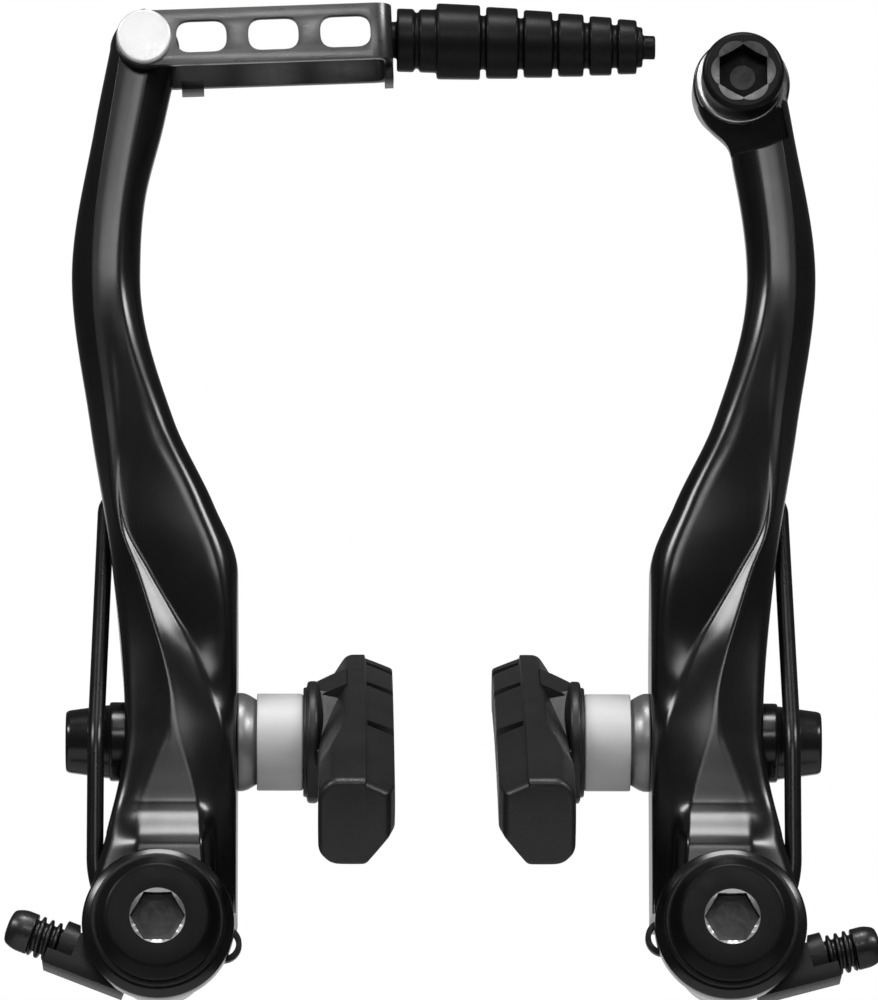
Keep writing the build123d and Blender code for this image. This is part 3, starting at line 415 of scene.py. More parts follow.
def arm_blank(name, wheel_side, round_end):
    """Arm before machining: eased sections at close heights; the linked arm ends in a half round about its
    rivet."""
    top = wheel_side[-1][0]
    heights = np.linspace(foot, top, 260)
    soft = np.clip((heights - apex) / 14, 0, 1)[:, None]
    outlines = forged(arm_section(heights, wheel_side), lower_reach + (upper_reach - lower_reach) * soft,
                      crown=0.012 * (1 - soft[:, 0]))
    if round_end:
        lift = end_radius * np.sin(np.linspace(0, 0.97, 14)[1:] * pi / 2)
        shrink = np.sqrt(1 - (lift / end_radius) ** 2)
        ends = np.repeat(outlines[-1:], len(lift), axis=0)
        ends[..., 0] = link_offset + (ends[..., 0] - link_offset) * shrink[:, None]
        outlines, heights = np.concatenate([outlines, ends]), np.concatenate([heights, top + lift])
    grid = np.concatenate([outlines, np.broadcast_to(heights[:, None, None], (*outlines.shape[:2], 1))], axis=2)
    return add_grid(name, grid)


rim_hole, rim_edge, rim_bevel, rim_lip = 6.0, 0.8, 1.0, 0.25
rear_hole, rear_back, rear_radius, rear_root = 4.0, 1.5, 6.4, 7.3
through_back, through_front, leg_bay_height = -1, 30, 17
post_slot, post_pocket, pocket_floor = (12.0, 7.2), (18.0, 11.6), 0.9
pin_room_degrees, pin_room_inner, pin_room_outer = (115, 175), 7.45, 11.6
seat_back, seat_front, recess_radius, bolt_hole = 9.5, 16.3, 9.4, 3.05
recess_wall = ([99.0, 104.0, 106.5, 109.0], [-8.7, -7.5, -7.2, -20.0])
recess_slope, recess_slope_from, recess_slope_front = 0.25, anchor_height - 3.0, 17


def from_front(name, outline, low, high):
    """Outline seen from the front, across and up, carried between two depths."""
    return prism(name, outline, pivot, (1, 0, 0), (0, 0, 1), low, high)


def along_post(name, outline, low, high):
    """Outline seen along the shoe's post, up and forward, carried between two places across."""
    return prism(name, outline, post_point, (0, 0, 1), forward, low, high)


def anchor_cuts():
    """Recess under the cable bolt: a round pocket with a wall left on its outer side, whose floor falls away in
    a straight slope below the bolt, and the bolt's hole."""
    pocket = circle(recess_radius, anchor_offset, anchor_height)
    pocket[:, 0] = np.maximum(pocket[:, 0], np.interp(pocket[:, 1], *recess_wall))
    x, heights = pocket[pocket[:, 1] < recess_slope_from].T
    depth = seat_front - recess_slope * (recess_slope_from - heights)
    floor = np.stack([x, -depth, heights], axis=1)
    front = np.stack([x, np.full_like(x, -recess_slope_front), heights], axis=1)
    hole = circle(bolt_hole, anchor_offset, anchor_height, 48)
    return [from_front("recess", pocket, seat_front, through_front),
            add_grid("recess_slope", np.stack([floor, front])),
            from_front("bolt_hole", hole, through_back, through_front)]


def make_arm(side):
    """One arm: the blank with its boss, machined as the part's source machines it, and with room for the stop
    pin to sweep past as the arm opens."""
    linked = side == "left"
    arm = arm_blank(side + "_arm_forging", inner_line if linked else anchor_inner_line, linked)
    rim = eased_loop([(rim_hole, boss_back), (boss_radius, boss_back), (boss_radius, boss_front - rim_edge),
                      (boss_radius - rim_bevel, boss_front - rim_lip), (rim_hole, boss_front)],
                     [0.01, 0.3, 0.3, 0.15, 0.01])
    rear = eased_loop([(rear_hole, rear_back), (rear_radius, rear_back), (rear_root, bay_back),
                       (rear_hole, bay_back)], [0.01, 0.5, 0.1, 0.01])
    sweep = radians(1) * np.linspace(*pin_room_degrees, 34)[:, None]
    spokes = np.concatenate([np.cos(sweep), np.sin(sweep)], axis=1)
    pin_room = np.concatenate([pin_room_outer * spokes, pin_room_inner * spokes[::-1]])
    leg_bay = box(leg_bay_edge - 2 * boss_radius, leg_bay_edge, -leg_bay_height, leg_bay_height)
    joins = [turned("rim", rim, pivot, forward), turned("rear_boss", rear, pivot, forward)]
    cuts = [
        from_front("bay", circle(bay_radius), bay_back, boss_back),
        from_front("leg_bay", leg_bay, through_back, boss_back),
        from_front("pin_room", pin_room, through_back, boss_back),
        from_front("bore", circle(bore_radius), through_back, through_front),
        along_post("post_slot", slot(*post_slot), -20, 20),
        along_post("post_pocket", slot(*post_pocket), -20, pocket_floor),
    ]
    if not linked:
        seat = eased_loop([(0.5, seat_back), (anchor_radius, seat_back), (anchor_radius, seat_front),
                           (0.5, seat_front)], [0.01, 0.8, 0.3, 0.01])
        joins.append(turned("anchor", seat, anchor_point, forward))
        cuts.extend(anchor_cuts())
    return settle(carve(arm, joins, cuts), side)


for side in SIDES:
    hand_over(make_arm(side), "arm_paint", side + "_arm", side + "_arm")


# Hardware on the pivots, turned about the pivot axis; a row is (radius, depth, hexagon share, slope)
flange_back, flange_front = 26.1, 28.7
key_corner, mouth_radius = 3.40, 3.44
bolt_sides, bevel_slope, wall_draft, wall_start, dish, socket_rows = 96, 0.8, 0.985, 0.35, 0.25, 7


def key_bolt(name, origin, outline, front, mouth, swell, corner, depth, turn, floor):
    """Bolt with a key socket: an eased turned outline, then a bevel that runs from a mouth into a hexagon, the
    socket's six walls and its floor, which dishes to a flat disc. The mouth is round, or swells between the
    hexagon's corners by the share of the hexagon's own hollowness. Returns the piece and its row count."""
    outer = eased(outline, 0.45)
    low = front - depth - dish
    rows = np.concatenate([np.column_stack([outer, np.zeros((len(outer), 2))]), [
        (mouth, front, -swell, 0), (corner, front - (mouth - corner) * bevel_slope, 1, -bevel_slope),
        (corner * wall_draft, front - (mouth - corner) - wall_start, 1, 0),
        (corner * wall_draft, front - depth, 1, 0), (floor * 1.02, low, 0, 0), (floor, low, 0, 0),
        (floor * 0.1, low, 0, 0)]])
    piece = turned(name, rows, origin, forward, up=(1, 0, 0), closed=False, around=bolt_sides,
                   shape=lambda angles: six_sided(angles, turn), crease=28)
    return piece, len(rows)


def socket_finishes(bolt, rows, edge, floor_rows):
    """Gives a key bolt's socket mouth one finish and its floor another, by the rows of its grid."""
    bolt.data.materials.append(finishes[edge])
    bolt.data.materials.append(finishes["socket_floor"])
    bands = np.zeros(len(bolt.data.polygons), np.int32)
    mouth_row = rows - socket_rows
    bands[mouth_row * bolt_sides:(mouth_row + 1) * bolt_sides] = 1
    bands[(rows - floor_rows) * bolt_sides:(rows - 1) * bolt_sides] = 2
    bands[-1] = 2
    bolt.data.polygons.foreach_set("material_index", bands)


flange_line = [(0.3, 16.0), (3.0, 16.0), (3.0, flange_back), (7.75, flange_back), (7.75, flange_back + 0.9),
               (6.5, flange_front), (4.2, flange_front + 0.02), (3.6, flange_front)]
washer_line = eased_loop([(3.3, 25.0), (8.3, 25.0), (8.3, flange_back), (3.3, flange_back)],
                         [0.05, 0.25, 0.35, 0.05])
for side in SIDES:
    bolt, rows = key_bolt(side + "_fixing_bolt_turned", pivot, flange_line, flange_front, mouth=mouth_radius,
                          swell=0.0, corner=key_corner, depth=2.0, turn=0.0, floor=2.2)
    hand_over(settle(bolt, side), "dark_steel", "pivots", side + "_fixing_bolt")
    socket_finishes(bolt, rows, "bright_edge", floor_rows=4)
    washer = turned(side + "_dust_washer_turned", washer_line, pivot, forward)
    hand_over(settle(washer, side), "black_plastic", "pivots", side + "_dust_washer")


# Shoe hardware, turned about the post
wheelward = (1, 0, 0)
nut_seat, nut_end, nut_key = -3.16, -11.76, 2.88
shoe_rings = {
    "inner_dome_washer": ([(3.65, 9.6), (6.15, 9.6), (6.1, 10.7), (5.1, 12.3), (3.65, 13.2)],
                          [0.1, 0.3, 1.0, 0.5, 0.1], "grey_washer"),
    "inner_cup_washer": ([(3.65, 13.49), (6.05, 11.91), (6.05, 17.81), (3.65, 17.81)],
                         [0.1, 0.4, 0.35, 0.1], "silver_washer"),
    "outer_dome_washer": ([(3.65, 0.9), (5.5, 0.9), (5.5, -0.1), (3.65, -1.2)],
                          [0.1, 0.2, 0.3, 0.1], "grey_washer"),
    "outer_cup_washer": ([(3.65, -1.28), (5.5, -0.16), (5.5, nut_seat), (3.65, nut_seat)],
                         [0.1, 0.3, 0.3, 0.1], "silver_washer"),
}
for side in SIDES:
    for name, (outline, reach, slot_name) in shoe_rings.items():
        ring = turned(f"{side}_{name}_turned", eased_loop(outline, reach, 7), post_point, wheelward, around=128)
        hand_over(settle(ring, side), slot_name, side + "_arm", f"{side}_{name}")
    nut_line = eased([(3.1, nut_seat), (4.95, nut_seat), (4.95, -6.26), (4.6, -6.3), (3.85, nut_end),
                      (3.0, nut_end)], [0.3, 0.5, 0.1, 0.7], 6)
    nut_rows = np.concatenate([np.column_stack([nut_line, np.zeros((len(nut_line), 2))]), [
        (nut_key, -11.55, 1, 0), (nut_key, -7.76, 1, 0), (3.05, -7.7, 0, 0)]])
    nut = turned(side + "_shoe_nut_turned", nut_rows, post_point, wheelward,
                 shape=lambda angles: six_sided(angles, 0.0))
    hand_over(settle(nut, side), "black_nut", side + "_arm", side + "_shoe_nut")


# Brake shoes: a section carried round the wheel's axis, with its near end down
pitch, wheel_radius = radians(22.9), 300.0
near_way, up_way = np.array([0, -cos(pitch), -sin(pitch)]), np.array([0, -sin(pitch), cos(pitch)])
wheel_centre = np.array(post_point) - up_way * wheel_radius
shoe_boss, shoe_back, shoe_ridge, shoe_face = 17.81, 19.71, 25.51, 29.01
shoe_top, shoe_bottom, shoe_near, shoe_far = 7.6, -3.6, 43.0, 22.0
near_round, near_draw, far_round, far_draw = 1.1, 0.16, 0.7, 0.11
taper_from, taper_run, far_taper, far_lift = -12, 10, 0.8, 2.0
closing_from, closing_run, ridge_width, bevel_drop, edge_bevel = 16, 17, 2.3, 6.2, 1.6
nose_run, nose_drop, face_foot, face_head, ridge_drop = 3.5, 0.7, 3.7, 1.8, 0.45
shoulder_from, shoulder_to, swell_run = -12.0, 0.5, 2.0
shoulder_x, shoulder_drop = np.array([18.75, 18.75, 21.6, 23.2, 23.2]), np.array([7.0, 2.1, 0.7, 0.05, 7.0])
web_run, web_slope = 7.5, np.array([0, 0.82, 0.82, 0.82, 0])
web_x, web_top = np.array([18.4, 18.4, 23.0, 24.0, 24.0]), np.array([-5.4, 6.9, 6.0, 5.8, -5.4])
groove_places, groove_floor, groove_root, groove_mouth = (-17.0, -2.0, 19.0), 0.2, 1.1, 1.7


def rim_place(x, height, run):
    """Points at x, at a height over the rim and a run along it: the upright turns about the wheel's axis by run
    over radius."""
    turn = (run / wheel_radius)[..., None]
    up = up_way * np.cos(turn) + near_way * np.sin(turn)
    points = wheel_centre + (wheel_radius + height)[..., None] * up
    points[..., 0] += x
    return points


def rim_points(outlines, runs):
    """Section outlines (rows, n, 2) of (x, height), one for each run."""
    return rim_place(outlines[..., 0], outlines[..., 1], np.broadcast_to(runs[:, None], outlines.shape[:2]))


def end_draw(into, share):
    """Share by which sections draw in at an end: it grows as a quarter circle falls away into the end."""
    return share * (1 - np.sqrt(1 - np.minimum(into, 0.995) ** 2))


def shoe_block(name):
    """Shoe without its boss: nine eased corners at each run. The back's bevel closes up towards the near end in
    a smooth step, the back tapers off at the far end, and both ends round over by drawing in to the middle."""
    quarter = np.sin(np.linspace(0, 1, 7) * pi / 2)
    far_edge, near_edge = -shoe_far + far_round, shoe_near - near_round
    runs = np.concatenate([far_edge - far_round * quarter[::-1], np.linspace(far_edge, near_edge, 150)[1:-1],
                           near_edge + near_round * quarter])
    far_share = np.clip((taper_from - runs) / taper_run, 0, 1)
    back = shoe_back + far_taper * far_share
    share = np.clip((runs - closing_from) / closing_run, 0, 1)
    closing = share * share * (3 - 2 * share)
    bevel_x = (shoe_ridge - ridge_width) * (1 - closing) + (back + edge_bevel) * closing
    bevel_height = (shoe_top - bevel_drop) * (1 - closing) + (shoe_top - edge_bevel) * closing
    bevel_height = bevel_height + far_lift * far_share
    face = shoe_face - nose_drop * np.clip((runs - shoe_near + nose_run) / nose_run, 0, 1)
    x = [back, back + edge_bevel, shoe_ridge, face, face, shoe_ridge + 0.05, shoe_ridge, bevel_x, back]
    height = [shoe_bottom + edge_bevel, shoe_bottom, shoe_bottom, shoe_bottom + face_foot,
              shoe_top - face_head, shoe_top - ridge_drop, shoe_top, shoe_top, bevel_height]
    corners = np.stack([np.stack(np.broadcast_arrays(*line), axis=1) for line in (x, height)], axis=-1)
    outlines = forged(corners, (1.0, 1.2, 0.5, 0.6, 0.35, 0.15, 0.15, 0.9, 1.2), crown=0.006)
    middle = corners.mean(axis=1, keepdims=True)
    draw = end_draw(np.clip((runs - near_edge) / near_round, 0, 1), near_draw)
    draw = draw + end_draw(np.clip((far_edge - runs) / far_round, 0, 1), far_draw)
    outlines = middle + (outlines - middle) * (1 - draw)[:, None, None]
    return add_grid(name, rim_points(outlines, runs), crease=40)


def shoe_joins():
    """Shoulder, whose far end swells up from the block, the ramp beside it, and the boss round the post."""
    runs = np.linspace(shoulder_from, shoulder_to, 26)
    fade = 1 - np.clip((runs - shoulder_from) / swell_run, 0, 1)[:, None]
    rise = (shoe_top - shoulder_drop)[None] - 1.2 * fade * np.array([0, 1, 1, 0.2, 0])
    side_x = shoulder_x[None] + fade * np.array([1.2, 1.2, 0.6, 0, 0])
    shoulder_outline = forged(np.stack([side_x, rise], axis=-1), (0.1, 1.0, 1.6, 0.1, 0.1))
    web = np.linspace(0, web_run, 6)
    web_height = web_top - web_slope * web[:, None]
    web_points = np.stack([np.broadcast_to(web_x, web_height.shape), web_height], axis=-1)
    web_outline = forged(web_points, (0.1, 0.2, 0.1, 0.1, 0.1))
    boss = eased([(0.3, shoe_boss), (6.8, shoe_boss), (6.85, shoe_boss + 0.4), (7.6, shoe_boss + 0.55),
                  (7.65, shoe_back - 0.1), (4.4, 20.5), (3.8, 22.7), (0.3, 22.7)],
                 [0.2, 0.1, 0.35, 0.5, 0.3, 0.3], 6)
    return [add_grid("shoulder", rim_points(shoulder_outline, runs)),
            add_grid("web", rim_points(web_outline, web)),
            turned("boss", boss, post_point, wheelward, closed=False, around=128)]


def make_shoe(side):
    """Whole shoe: block, shoulder, ramp and boss joined, with three water grooves across the friction face."""
    shoe = shoe_block(side + "_shoe_moulding")
    grooves = []
    for place in groove_places:
        x = np.repeat([shoe_ridge + groove_floor, shoe_face + 1.0], 2)
        run = place + np.array([-groove_root, groove_root, groove_mouth, -groove_mouth])
        heights = np.array([[-9.0], [14.0]])
        grooves.append(add_grid("groove", rim_place(*np.broadcast_arrays(x, heights, run))))
    return settle(carve(shoe, shoe_joins(), grooves, crease=32), side)


for side in SIDES:
    hand_over(make_shoe(side), "pad_rubber", side + "_arm", side + "_shoe_pad")


# Return springs: a round wire along a coil, a leg up behind the arm and a stop pin
wire, coil_radius, coil_turns, coil_pitch, leg_depth = 1.05, 6.35, 2.83, 2.2, 19.4
pin_radius, pin_end, wire_bend, wire_sides = 8.7, 3.5, 2.0, 20
leg_start, leg_x, leg_foot, leg_bend = 2.4, -7.9, 7.0, 24.0
hook_height, hook_x, hook_gap, hook_end = 57.0, -7.0, 0.9, (-2.5, 57.5)


def spring_path():
    """Middle line of the wire from pin to hook, and the way that stays square to it: the coil is a left-handed
    helix, and the pin and the leg are straight runs with eased corners."""
    start = radians(360 * (coil_turns - 2) + 180)
    t = np.linspace(0, 1, 150)
    angle = start - 2 * pi * coil_turns * t
    rise = coil_turns * coil_pitch
    coil = np.stack([coil_radius * np.cos(angle), rise - leg_depth - rise * t, coil_radius * np.sin(angle)],
                    axis=1)
    pin_way = (coil[0] - coil[1]) / np.linalg.norm(coil[0] - coil[1])
    corner = coil[0] + pin_way * sqrt(pin_radius**2 - coil_radius**2)
    pin = eased([coil[0], corner, (corner[0], pin_end, corner[2])], wire_bend, 9)[::-1]
    leg_way = (coil[-1] - coil[-2]) / np.linalg.norm(coil[-1] - coil[-2])
    first = coil[-1] + leg_way * leg_start
    hook_depth = -float(along(back_line, np.array([hook_height]))[0]) + wire + hook_gap
    leg = eased([coil[-1], first, (leg_x, first[1], leg_foot), (leg_x, first[1], leg_bend),
                 (hook_x, hook_depth, hook_height), (hook_end[0], hook_depth, hook_end[1])], wire_bend, 9)
    path = np.concatenate([pin[:-1], coil, leg[1:]])
    way = np.gradient(path, axis=0)
    way = way / np.linalg.norm(way, axis=1, keepdims=True)
    square = np.cross(way, (0, 1, 0))
    square[:len(pin) - 1] = np.cross(way[len(pin)], (0, 1, 0))
    return path, way, square / np.linalg.norm(square, axis=1, keepdims=True)


def make_spring(side):
    """Wire: a circle carried along the spring's path, drawn in a little at both ends."""
    path, way, square = spring_path()
    other = np.cross(square, way)
    angles = np.arange(wire_sides) * 2 * pi / wire_sides
    size = np.full(len(path), wire)
    size[[0, -1]] = wire * 0.8
    ring = np.cos(angles)[None, :, None] * square[:, None] + np.sin(angles)[None, :, None] * other[:, None]
    return settle(add_grid(side + "_spring_wire", path[:, None] + size[:, None, None] * ring, crease=50), side)


for side in SIDES:
    spring = make_spring(side)
    spring.data.materials.append(finishes["spring_wire"])
    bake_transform(spring)
    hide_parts(side + "_return_spring")


# Adjuster screws: a helical thread under a domed head with a cross recess
holder_turn, screw_slope, screw_depth, screw_offset = radians(3.2), radians(18.0), 17.4, 6.0
thread_from, thread_to, thread_pitch = 8.1, 14.2, 1.05
thread_radius, thread_height, thread_flatness = 2.28, 0.33, 2.2
cross_reach, cross_thin, cross_dip, screw_sides = 1.25, 0.3, np.array([17.5, 16.2]), 72


def screw_frame(side):
    """Foot, axis and up way of the adjuster about the left pivot; the holders stand a few degrees turned."""
    slope = screw_slope + holder_turn * -SIDES[side]
    out = np.array([-cos(slope), 0, sin(slope)])
    across = np.array([sin(slope), 0, cos(slope)])
    return np.array([0, -screw_depth, 0]) - across * screw_offset, out, across


def make_screw(side):
    """Screw: the thread's radius is a flattened wave of (distance over pitch minus angle over a full turn)."""
    foot_point, out, across = screw_frame(side)
    side_way = np.cross(out, across)
    angles = np.arange(screw_sides) * 2 * pi / screw_sides
    distance = np.linspace(thread_from, thread_to, 110)
    wave = np.cos(2 * pi * distance[:, None] / thread_pitch - angles[None])
    radius = thread_radius + thread_height * np.tanh(thread_flatness * wave)
    radius[:4] *= np.array([0.80, 0.88, 0.94, 0.98])[:, None]
    head = eased([(2.0, 14.3), (2.6, 14.35), (2.6, 16.1), (2.1, 17.38), (1.3, 17.58)], [0.2, 0.6, 0.5], 6)
    cross = np.stack([cross_reach * cross_sided(angles, cross_thin)] * 2)
    radius = np.concatenate([radius, np.repeat(head[:, :1], screw_sides, axis=1), cross, cross[-1:] * 0.2])
    distance = np.concatenate([distance, head[:, 1], cross_dip, cross_dip[-1:]])
    spoke = np.cos(angles)[:, None] * across + np.sin(angles)[:, None] * side_way
    grid = foot_point + radius[..., None] * spoke[None] + (distance[:, None] * out)[:, None, :]
    return settle(add_grid(side + "_adjuster_turned", grid, crease=45), side)


for side in SIDES:
    hand_over(make_screw(side), "screw_steel", side + "_adjuster", side + "_adjuster_screw")


# Cable link: rivet, washer and bellows boot
tilt, droop = radians(2.2), radians(1.6)
sheet, sheet_front, sheet_rear, sheet_length, sheet_rise = 1.1, 21.55, 8.6, 31.2, 3.55
end_bend, wall_end, tab_middle, key_rise = 2.4, -4, 15.075, 0.3
rivet_point = (link_offset - PIVOT_SPACING / 2, 0, link_height)
rivet_line = eased([(0.2, 7.45), (2.6, 7.45), (2.9, 7.8), (2.9, 8.55), (2.0, 8.55), (2.0, 21.6), (3.45, 21.6),
                    (3.45, 22.45), (3.25, 22.65), (0.2, 22.7)], [0.2, 0.2, 0.1, 0.05, 0.05, 0.2, 0.12, 0.12], 6)
rivet = turned("link_rivet_turned", rivet_line, rivet_point, forward, closed=False)
hand_over(rivet, "bright_rivet", "left_arm", "link_rivet")
ring_line = eased_loop([(2.1, 19.0), (3.6, 19.0), (3.6, 20.4), (2.1, 20.4)], 0.15)
link_washer = turned("link_washer_turned", ring_line, rivet_point, forward)
hand_over(link_washer, "black_plastic", "left_arm", "link_washer")

link_way, link_up = (cos(tilt), 0, sin(tilt)), (-sin(tilt), 0, cos(tilt))
boot_way = np.array([cos(droop), 0, -sin(droop)])
boot_start = np.array(rivet_point) + sheet_length * np.array(link_way) + np.array([0, -tab_middle, key_rise])
rib, rib_start, rib_gap, lip_length = np.arange(6), 5.6, 0.75, 1.6
rib_radius, groove_radius = 4.8 - 0.26 * rib, 3.4 - 0.17 * rib
rib_length = np.where(rib == 0, 5.5, 4.0 - 0.4 * (rib - 1))
rib_from = rib_start + np.concatenate([[0], np.cumsum(rib_length + rib_gap)[:-1]])
rib_to = rib_from + rib_length
rib_corners = np.stack([
    np.stack([rib_radius - 0.15, rib_radius, rib_radius - 0.1, groove_radius, groove_radius], axis=1),
    np.stack([rib_from, rib_from + 0.25, rib_to, rib_to, rib_to + rib_gap], axis=1)], axis=-1).reshape(-1, 2)
boot_end = rib_to[-1] + rib_gap
boot_line = np.concatenate([
    [(0.9, -2.4), (2.3, -2.4), (2.95, -1.9), (2.95, -1.4), (2.3, -1.4), (2.3, 0.6), (4.0, 0.6), (4.0, 2.7),
     (3.55, 2.9), (3.55, 3.3), (4.0, 3.5), (4.0, rib_start)], rib_corners,
    [(1.5, boot_end), (1.5, boot_end + lip_length), (0.9, boot_end + lip_length)]])
boot = turned("cable_boot_bellows", eased_loop(boot_line, 0.32, 5), boot_start, boot_way, around=112, crease=60)
hand_over(boot, "boot_rubber", "cable_link", "cable_boot")


# Cable anchor on the right arm
head_back, head_front = 17.6, 23.0
head_line = [(0.3, 10.3), (3.0, 10.3), (3.0, head_back), (5.15, head_back), (5.15, 22.6), (4.7, head_front),
             (4.25, head_front), (4.2, head_front)]
cable_bolt, rows = key_bolt("cable_bolt_turned", anchor_point, head_line, head_front, mouth=3.62, swell=0.9,
                            corner=6 / sqrt(3), depth=3.4, turn=pi / 2, floor=1.55)
hand_over(settle(cable_bolt, "right"), "dark_steel", "right_arm", "cable_bolt")
socket_finishes(cable_bolt, rows, "socket_edge", floor_rows=3)
clamp_line = eased_loop([(3.3, seat_front), (5.5, seat_front), (5.5, head_back), (3.3, head_back)],
                        [0.05, 0.2, 0.25, 0.05])
clamp_point = (anchor_offset + 0.24, 0, anchor_height + 0.15)
clamp = turned("cable_washer_turned", clamp_line, clamp_point, forward)
hand_over(settle(clamp, "right"), "plated_washer", "right_arm", "cable_washer")


# Link sheet and spring holders, with their edges broken; the holders keep their CAD shape
def broken_edges(piece, width):
    """Rounds a piece's sharp edges by a bevel, after its points are merged and its flat faces joined."""
    weld = piece.modifiers.new("weld", "WELD")
    weld.merge_threshold = 0.000002
    thin = piece.modifiers.new("thin", "DECIMATE")
    thin.decimate_type, thin.angle_limit = "DISSOLVE", radians(1.5)
    bevel = piece.modifiers.new("bevel", "BEVEL")
    bevel.width, bevel.segments = width * MM, 3
    bevel.limit_method, bevel.angle_limit = "ANGLE", radians(38)
    return keep_shape(piece, 35)


window_half, window_corner, first_window, window_step = (3.15, 2.075), 1.7, 7.2, 9.05
rivet_hole, rail_top, key_radius, key_neck = 2.05, 0.85, 2.45, 1.3
stop_from, stop_to, stop_foot, lip_top, tab_root, lip_reach = 4.5, 7.3, -4.55, -3.45, -2.45, 3.0
tab_half, tab_foot = 2.5, -5.35


def link_face(name, outline, low, high):
    """Outline seen from the front, along the link and up, carried between two depths."""
    return prism(name, outline, rivet_point, link_way, link_up, low, high)


def link_end(name, outline, low, high):
    """Outline seen along the link, forward and up, carried between two distances inside the link's end."""
    return prism(name, outline, rivet_point, forward, link_up, low - sheet_length, high - sheet_length)


def make_link():
    """Link sheet: a U in plan carried up the sheet's height, its walls rounded off about the rivet, with
    windows in front, a keyhole in the end and the rear wall cut down to a rail with two tabs."""
    inside_rear, inside_front, inside_end = sheet_rear + sheet, sheet_front - sheet, sheet_length - sheet
    plan = eased_loop([(wall_end, sheet_front), (sheet_length, sheet_front), (sheet_length, sheet_rear),
                       (wall_end, sheet_rear), (wall_end, inside_rear), (inside_end, inside_rear),
                       (inside_end, inside_front), (wall_end, inside_front)],
                      [0.02, end_bend, end_bend, 0.02, 0.02, end_bend - sheet, end_bend - sheet, 0.02], 10)
    link = prism("link_sheet", plan, rivet_point, link_way, forward, -sheet_rise, sheet_rise)
    half_turn = np.linspace(pi / 2, 3 * pi / 2, 40)
    nose = np.concatenate([sheet_rise * np.stack([np.cos(half_turn), np.sin(half_turn)], axis=1),
                           [(0, -6), (-6, -6), (-6, 6), (0, 6)]])
    rail = box(sheet_rise, sheet_length - 2 * sheet, rail_top, 9)
    cuts = [link_face("nose", nose, 0, through_front),
            link_face("rivet_hole", circle(rivet_hole), 0, through_front),
            link_face("rail", rail, 0, sheet_rear + 2 * sheet)]
    along_window, up_window = window_half
    for number in range(3):
        window = box(-along_window, along_window, -up_window, up_window)
        window = window + (first_window + window_step * number, 0)
        cuts.append(link_face("window", eased_loop(window, window_corner, 7), sheet_front - 3, through_front))
    cuts.append(link_end("keyhole", circle(key_radius, tab_middle, key_rise), -2, 2 * sheet))
    neck_outline = box(tab_middle - key_neck, tab_middle + key_neck, key_rise, 9)
    cuts.append(link_end("key_neck", neck_outline, -2, 2 * sheet))
    stop_tab, stop_lip = (box(stop_from, stop_to, stop_foot, top) for top in (tab_root, lip_top))
    end_tab = box(tab_middle - tab_half, tab_middle + tab_half, tab_foot, tab_root)
    joins = [link_face("stop_tab", stop_tab, sheet_rear, inside_rear),
             link_face("stop_lip", stop_lip, sheet_rear + 0.2, inside_rear + lip_reach),
             link_end("end_tab", end_tab, 0, sheet)]
    return broken_edges(carve(link, joins, cuts), 0.14)


link = hand_over(make_link(), "link_steel", "cable_link", "link_holder")
# Faces behind the front wall take the dark copy of the steel: painted shade
link.data.materials.append(finishes["link_painted_shade"])
centres = np.zeros(len(link.data.polygons) * 3, np.float32)
link.data.polygons.foreach_get("center", centres)
painted_shade_faces = centres[1::3] > (sheet * 2 - sheet_front) / 1000
link.data.polygons.foreach_set("material_index", painted_shade_faces.astype(np.int32))
for side in SIDES:
    node = side + "_spring_holder"
    holder = add_object(node + "_moulding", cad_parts[node].data.copy())
    hand_over(broken_edges(holder, 0.18), "black_plastic", "pivots", node)


# Floor, light and camera
floor_half, floor_level, camera_distance = 0.6, -0.42, 1.4
floor_corners = box(-floor_half, floor_half, -floor_half, floor_half)
floor_mesh = bpy.data.meshes.new("floor")
floor_mesh.from_pydata([(x, y, floor_level) for x, y in floor_corners.tolist()], [], [(0, 1, 2, 3)])
floor = add_object("floor", floor_mesh)
floor_paint, floor_tree, floor_shader, floor_place = finish_nodes("floor_paint")
floor_grey = ramp(floor_tree, mottle(floor_tree, floor_place, 6.0), 0.78, 0.82)
floor_tree.links.new(floor_grey, floor_shader.inputs["Base Color"])
floor_shader.inputs["Roughness"].default_value = 0.9
floor_mesh.materials.append(floor_paint)


def soft_box(name, place, aim, width, height, power):
    """Rectangular lamp at a place, facing a point."""
    lamp = bpy.data.lights.new(name, "AREA")
    lamp.shape, lamp.size, lamp.size_y, lamp.energy = "RECTANGLE", width, height, power
    lamp_holder = add_object(name, lamp)
    lamp_holder.location = place
    lamp_holder.rotation_euler = (Vector(aim) - Vector(place)).to_track_quat("-Z", "Y").to_euler()


middle = (0, -0.01, 0.055)
soft_box("front_box", (0.01, -1.25, 0.355), (0, 0, 0.07), 0.46, 0.13, 1.6)
soft_box("right_box", (0.84, -0.70, 0.70), middle, 0.44, 0.24, 6.0)
soft_box("left_box", (-0.84, -0.70, 0.70), middle, 0.44, 0.24, 6.0)
soft_box("top_box", (0.0, -0.43, 1.06), middle, 0.45, 0.28, 5.5)
soft_box("upper_box", (0.0, -0.92, 0.90), middle, 0.3, 0.62, 1.0)

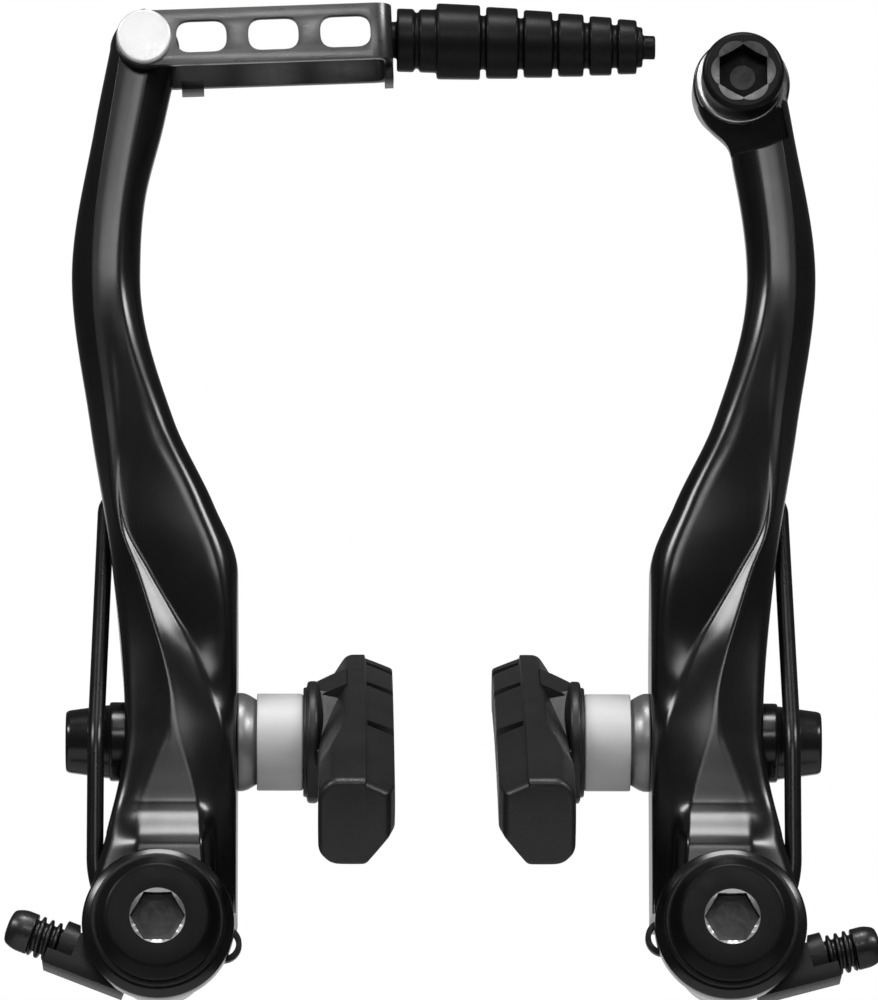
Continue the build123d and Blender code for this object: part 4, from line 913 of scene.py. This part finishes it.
# A white backdrop for the camera and for mirror rays that go straight back; a dim room lights the rest
world = bpy.data.worlds.new("studio")
bpy.context.scene.world = world
world.use_nodes = True
air = world.node_tree
backdrop = air.nodes["Background"]
backdrop.inputs["Color"].default_value = (1, 1, 1, 1)
room = air.nodes.new("ShaderNodeBackground")
room.inputs["Color"].default_value = (1, 1, 1, 1)
room.inputs["Strength"].default_value = 0.08
rays = air.nodes.new("ShaderNodeLightPath")
way = air.nodes.new("ShaderNodeTexCoord")
parts = air.nodes.new("ShaderNodeSeparateXYZ")
air.links.new(way.outputs["Generated"], parts.inputs["Vector"])
behind = air.nodes.new("ShaderNodeMapRange")
behind.inputs["From Min"].default_value, behind.inputs["From Max"].default_value = 0.9, 0.99
air.links.new(parts.outputs["Y"], behind.inputs["Value"])


def combined(operation, first, second):
    """Sum or product of two values in the world's node tree, held to between nought and one."""
    node = air.nodes.new("ShaderNodeMath")
    node.operation, node.use_clamp = operation, True
    air.links.new(first, node.inputs[0])
    air.links.new(second, node.inputs[1])
    return node.outputs["Value"]


mirrored = combined("MULTIPLY", rays.outputs["Is Glossy Ray"], behind.outputs["Result"])
through = combined("ADD", rays.outputs["Is Camera Ray"], rays.outputs["Is Transmission Ray"])
mixed = air.nodes.new("ShaderNodeMixShader")
air.links.new(combined("ADD", through, mirrored), mixed.inputs["Fac"])
air.links.new(room.outputs["Background"], mixed.inputs[1])
air.links.new(backdrop.outputs["Background"], mixed.inputs[2])
air.links.new(mixed.outputs["Shader"], air.nodes["World Output"].inputs["Surface"])

target = Vector((-0.0006, -0.015, 0.0553))
elevation, azimuth = radians(-12.5), radians(-0.6)
away = Vector((sin(azimuth) * cos(elevation), -cos(azimuth) * cos(elevation), sin(elevation)))
lens = bpy.data.cameras.new("photo_camera")
lens.sensor_fit, lens.sensor_height, lens.lens = "VERTICAL", 36.0, 403.2
camera = add_object("photo_camera", lens)
camera.location = target + away * camera_distance
camera.rotation_euler = (-away).to_track_quat("-Z", "Y").to_euler()
bpy.context.scene.camera = camera
bpy.context.scene.view_settings.view_transform = "Standard"
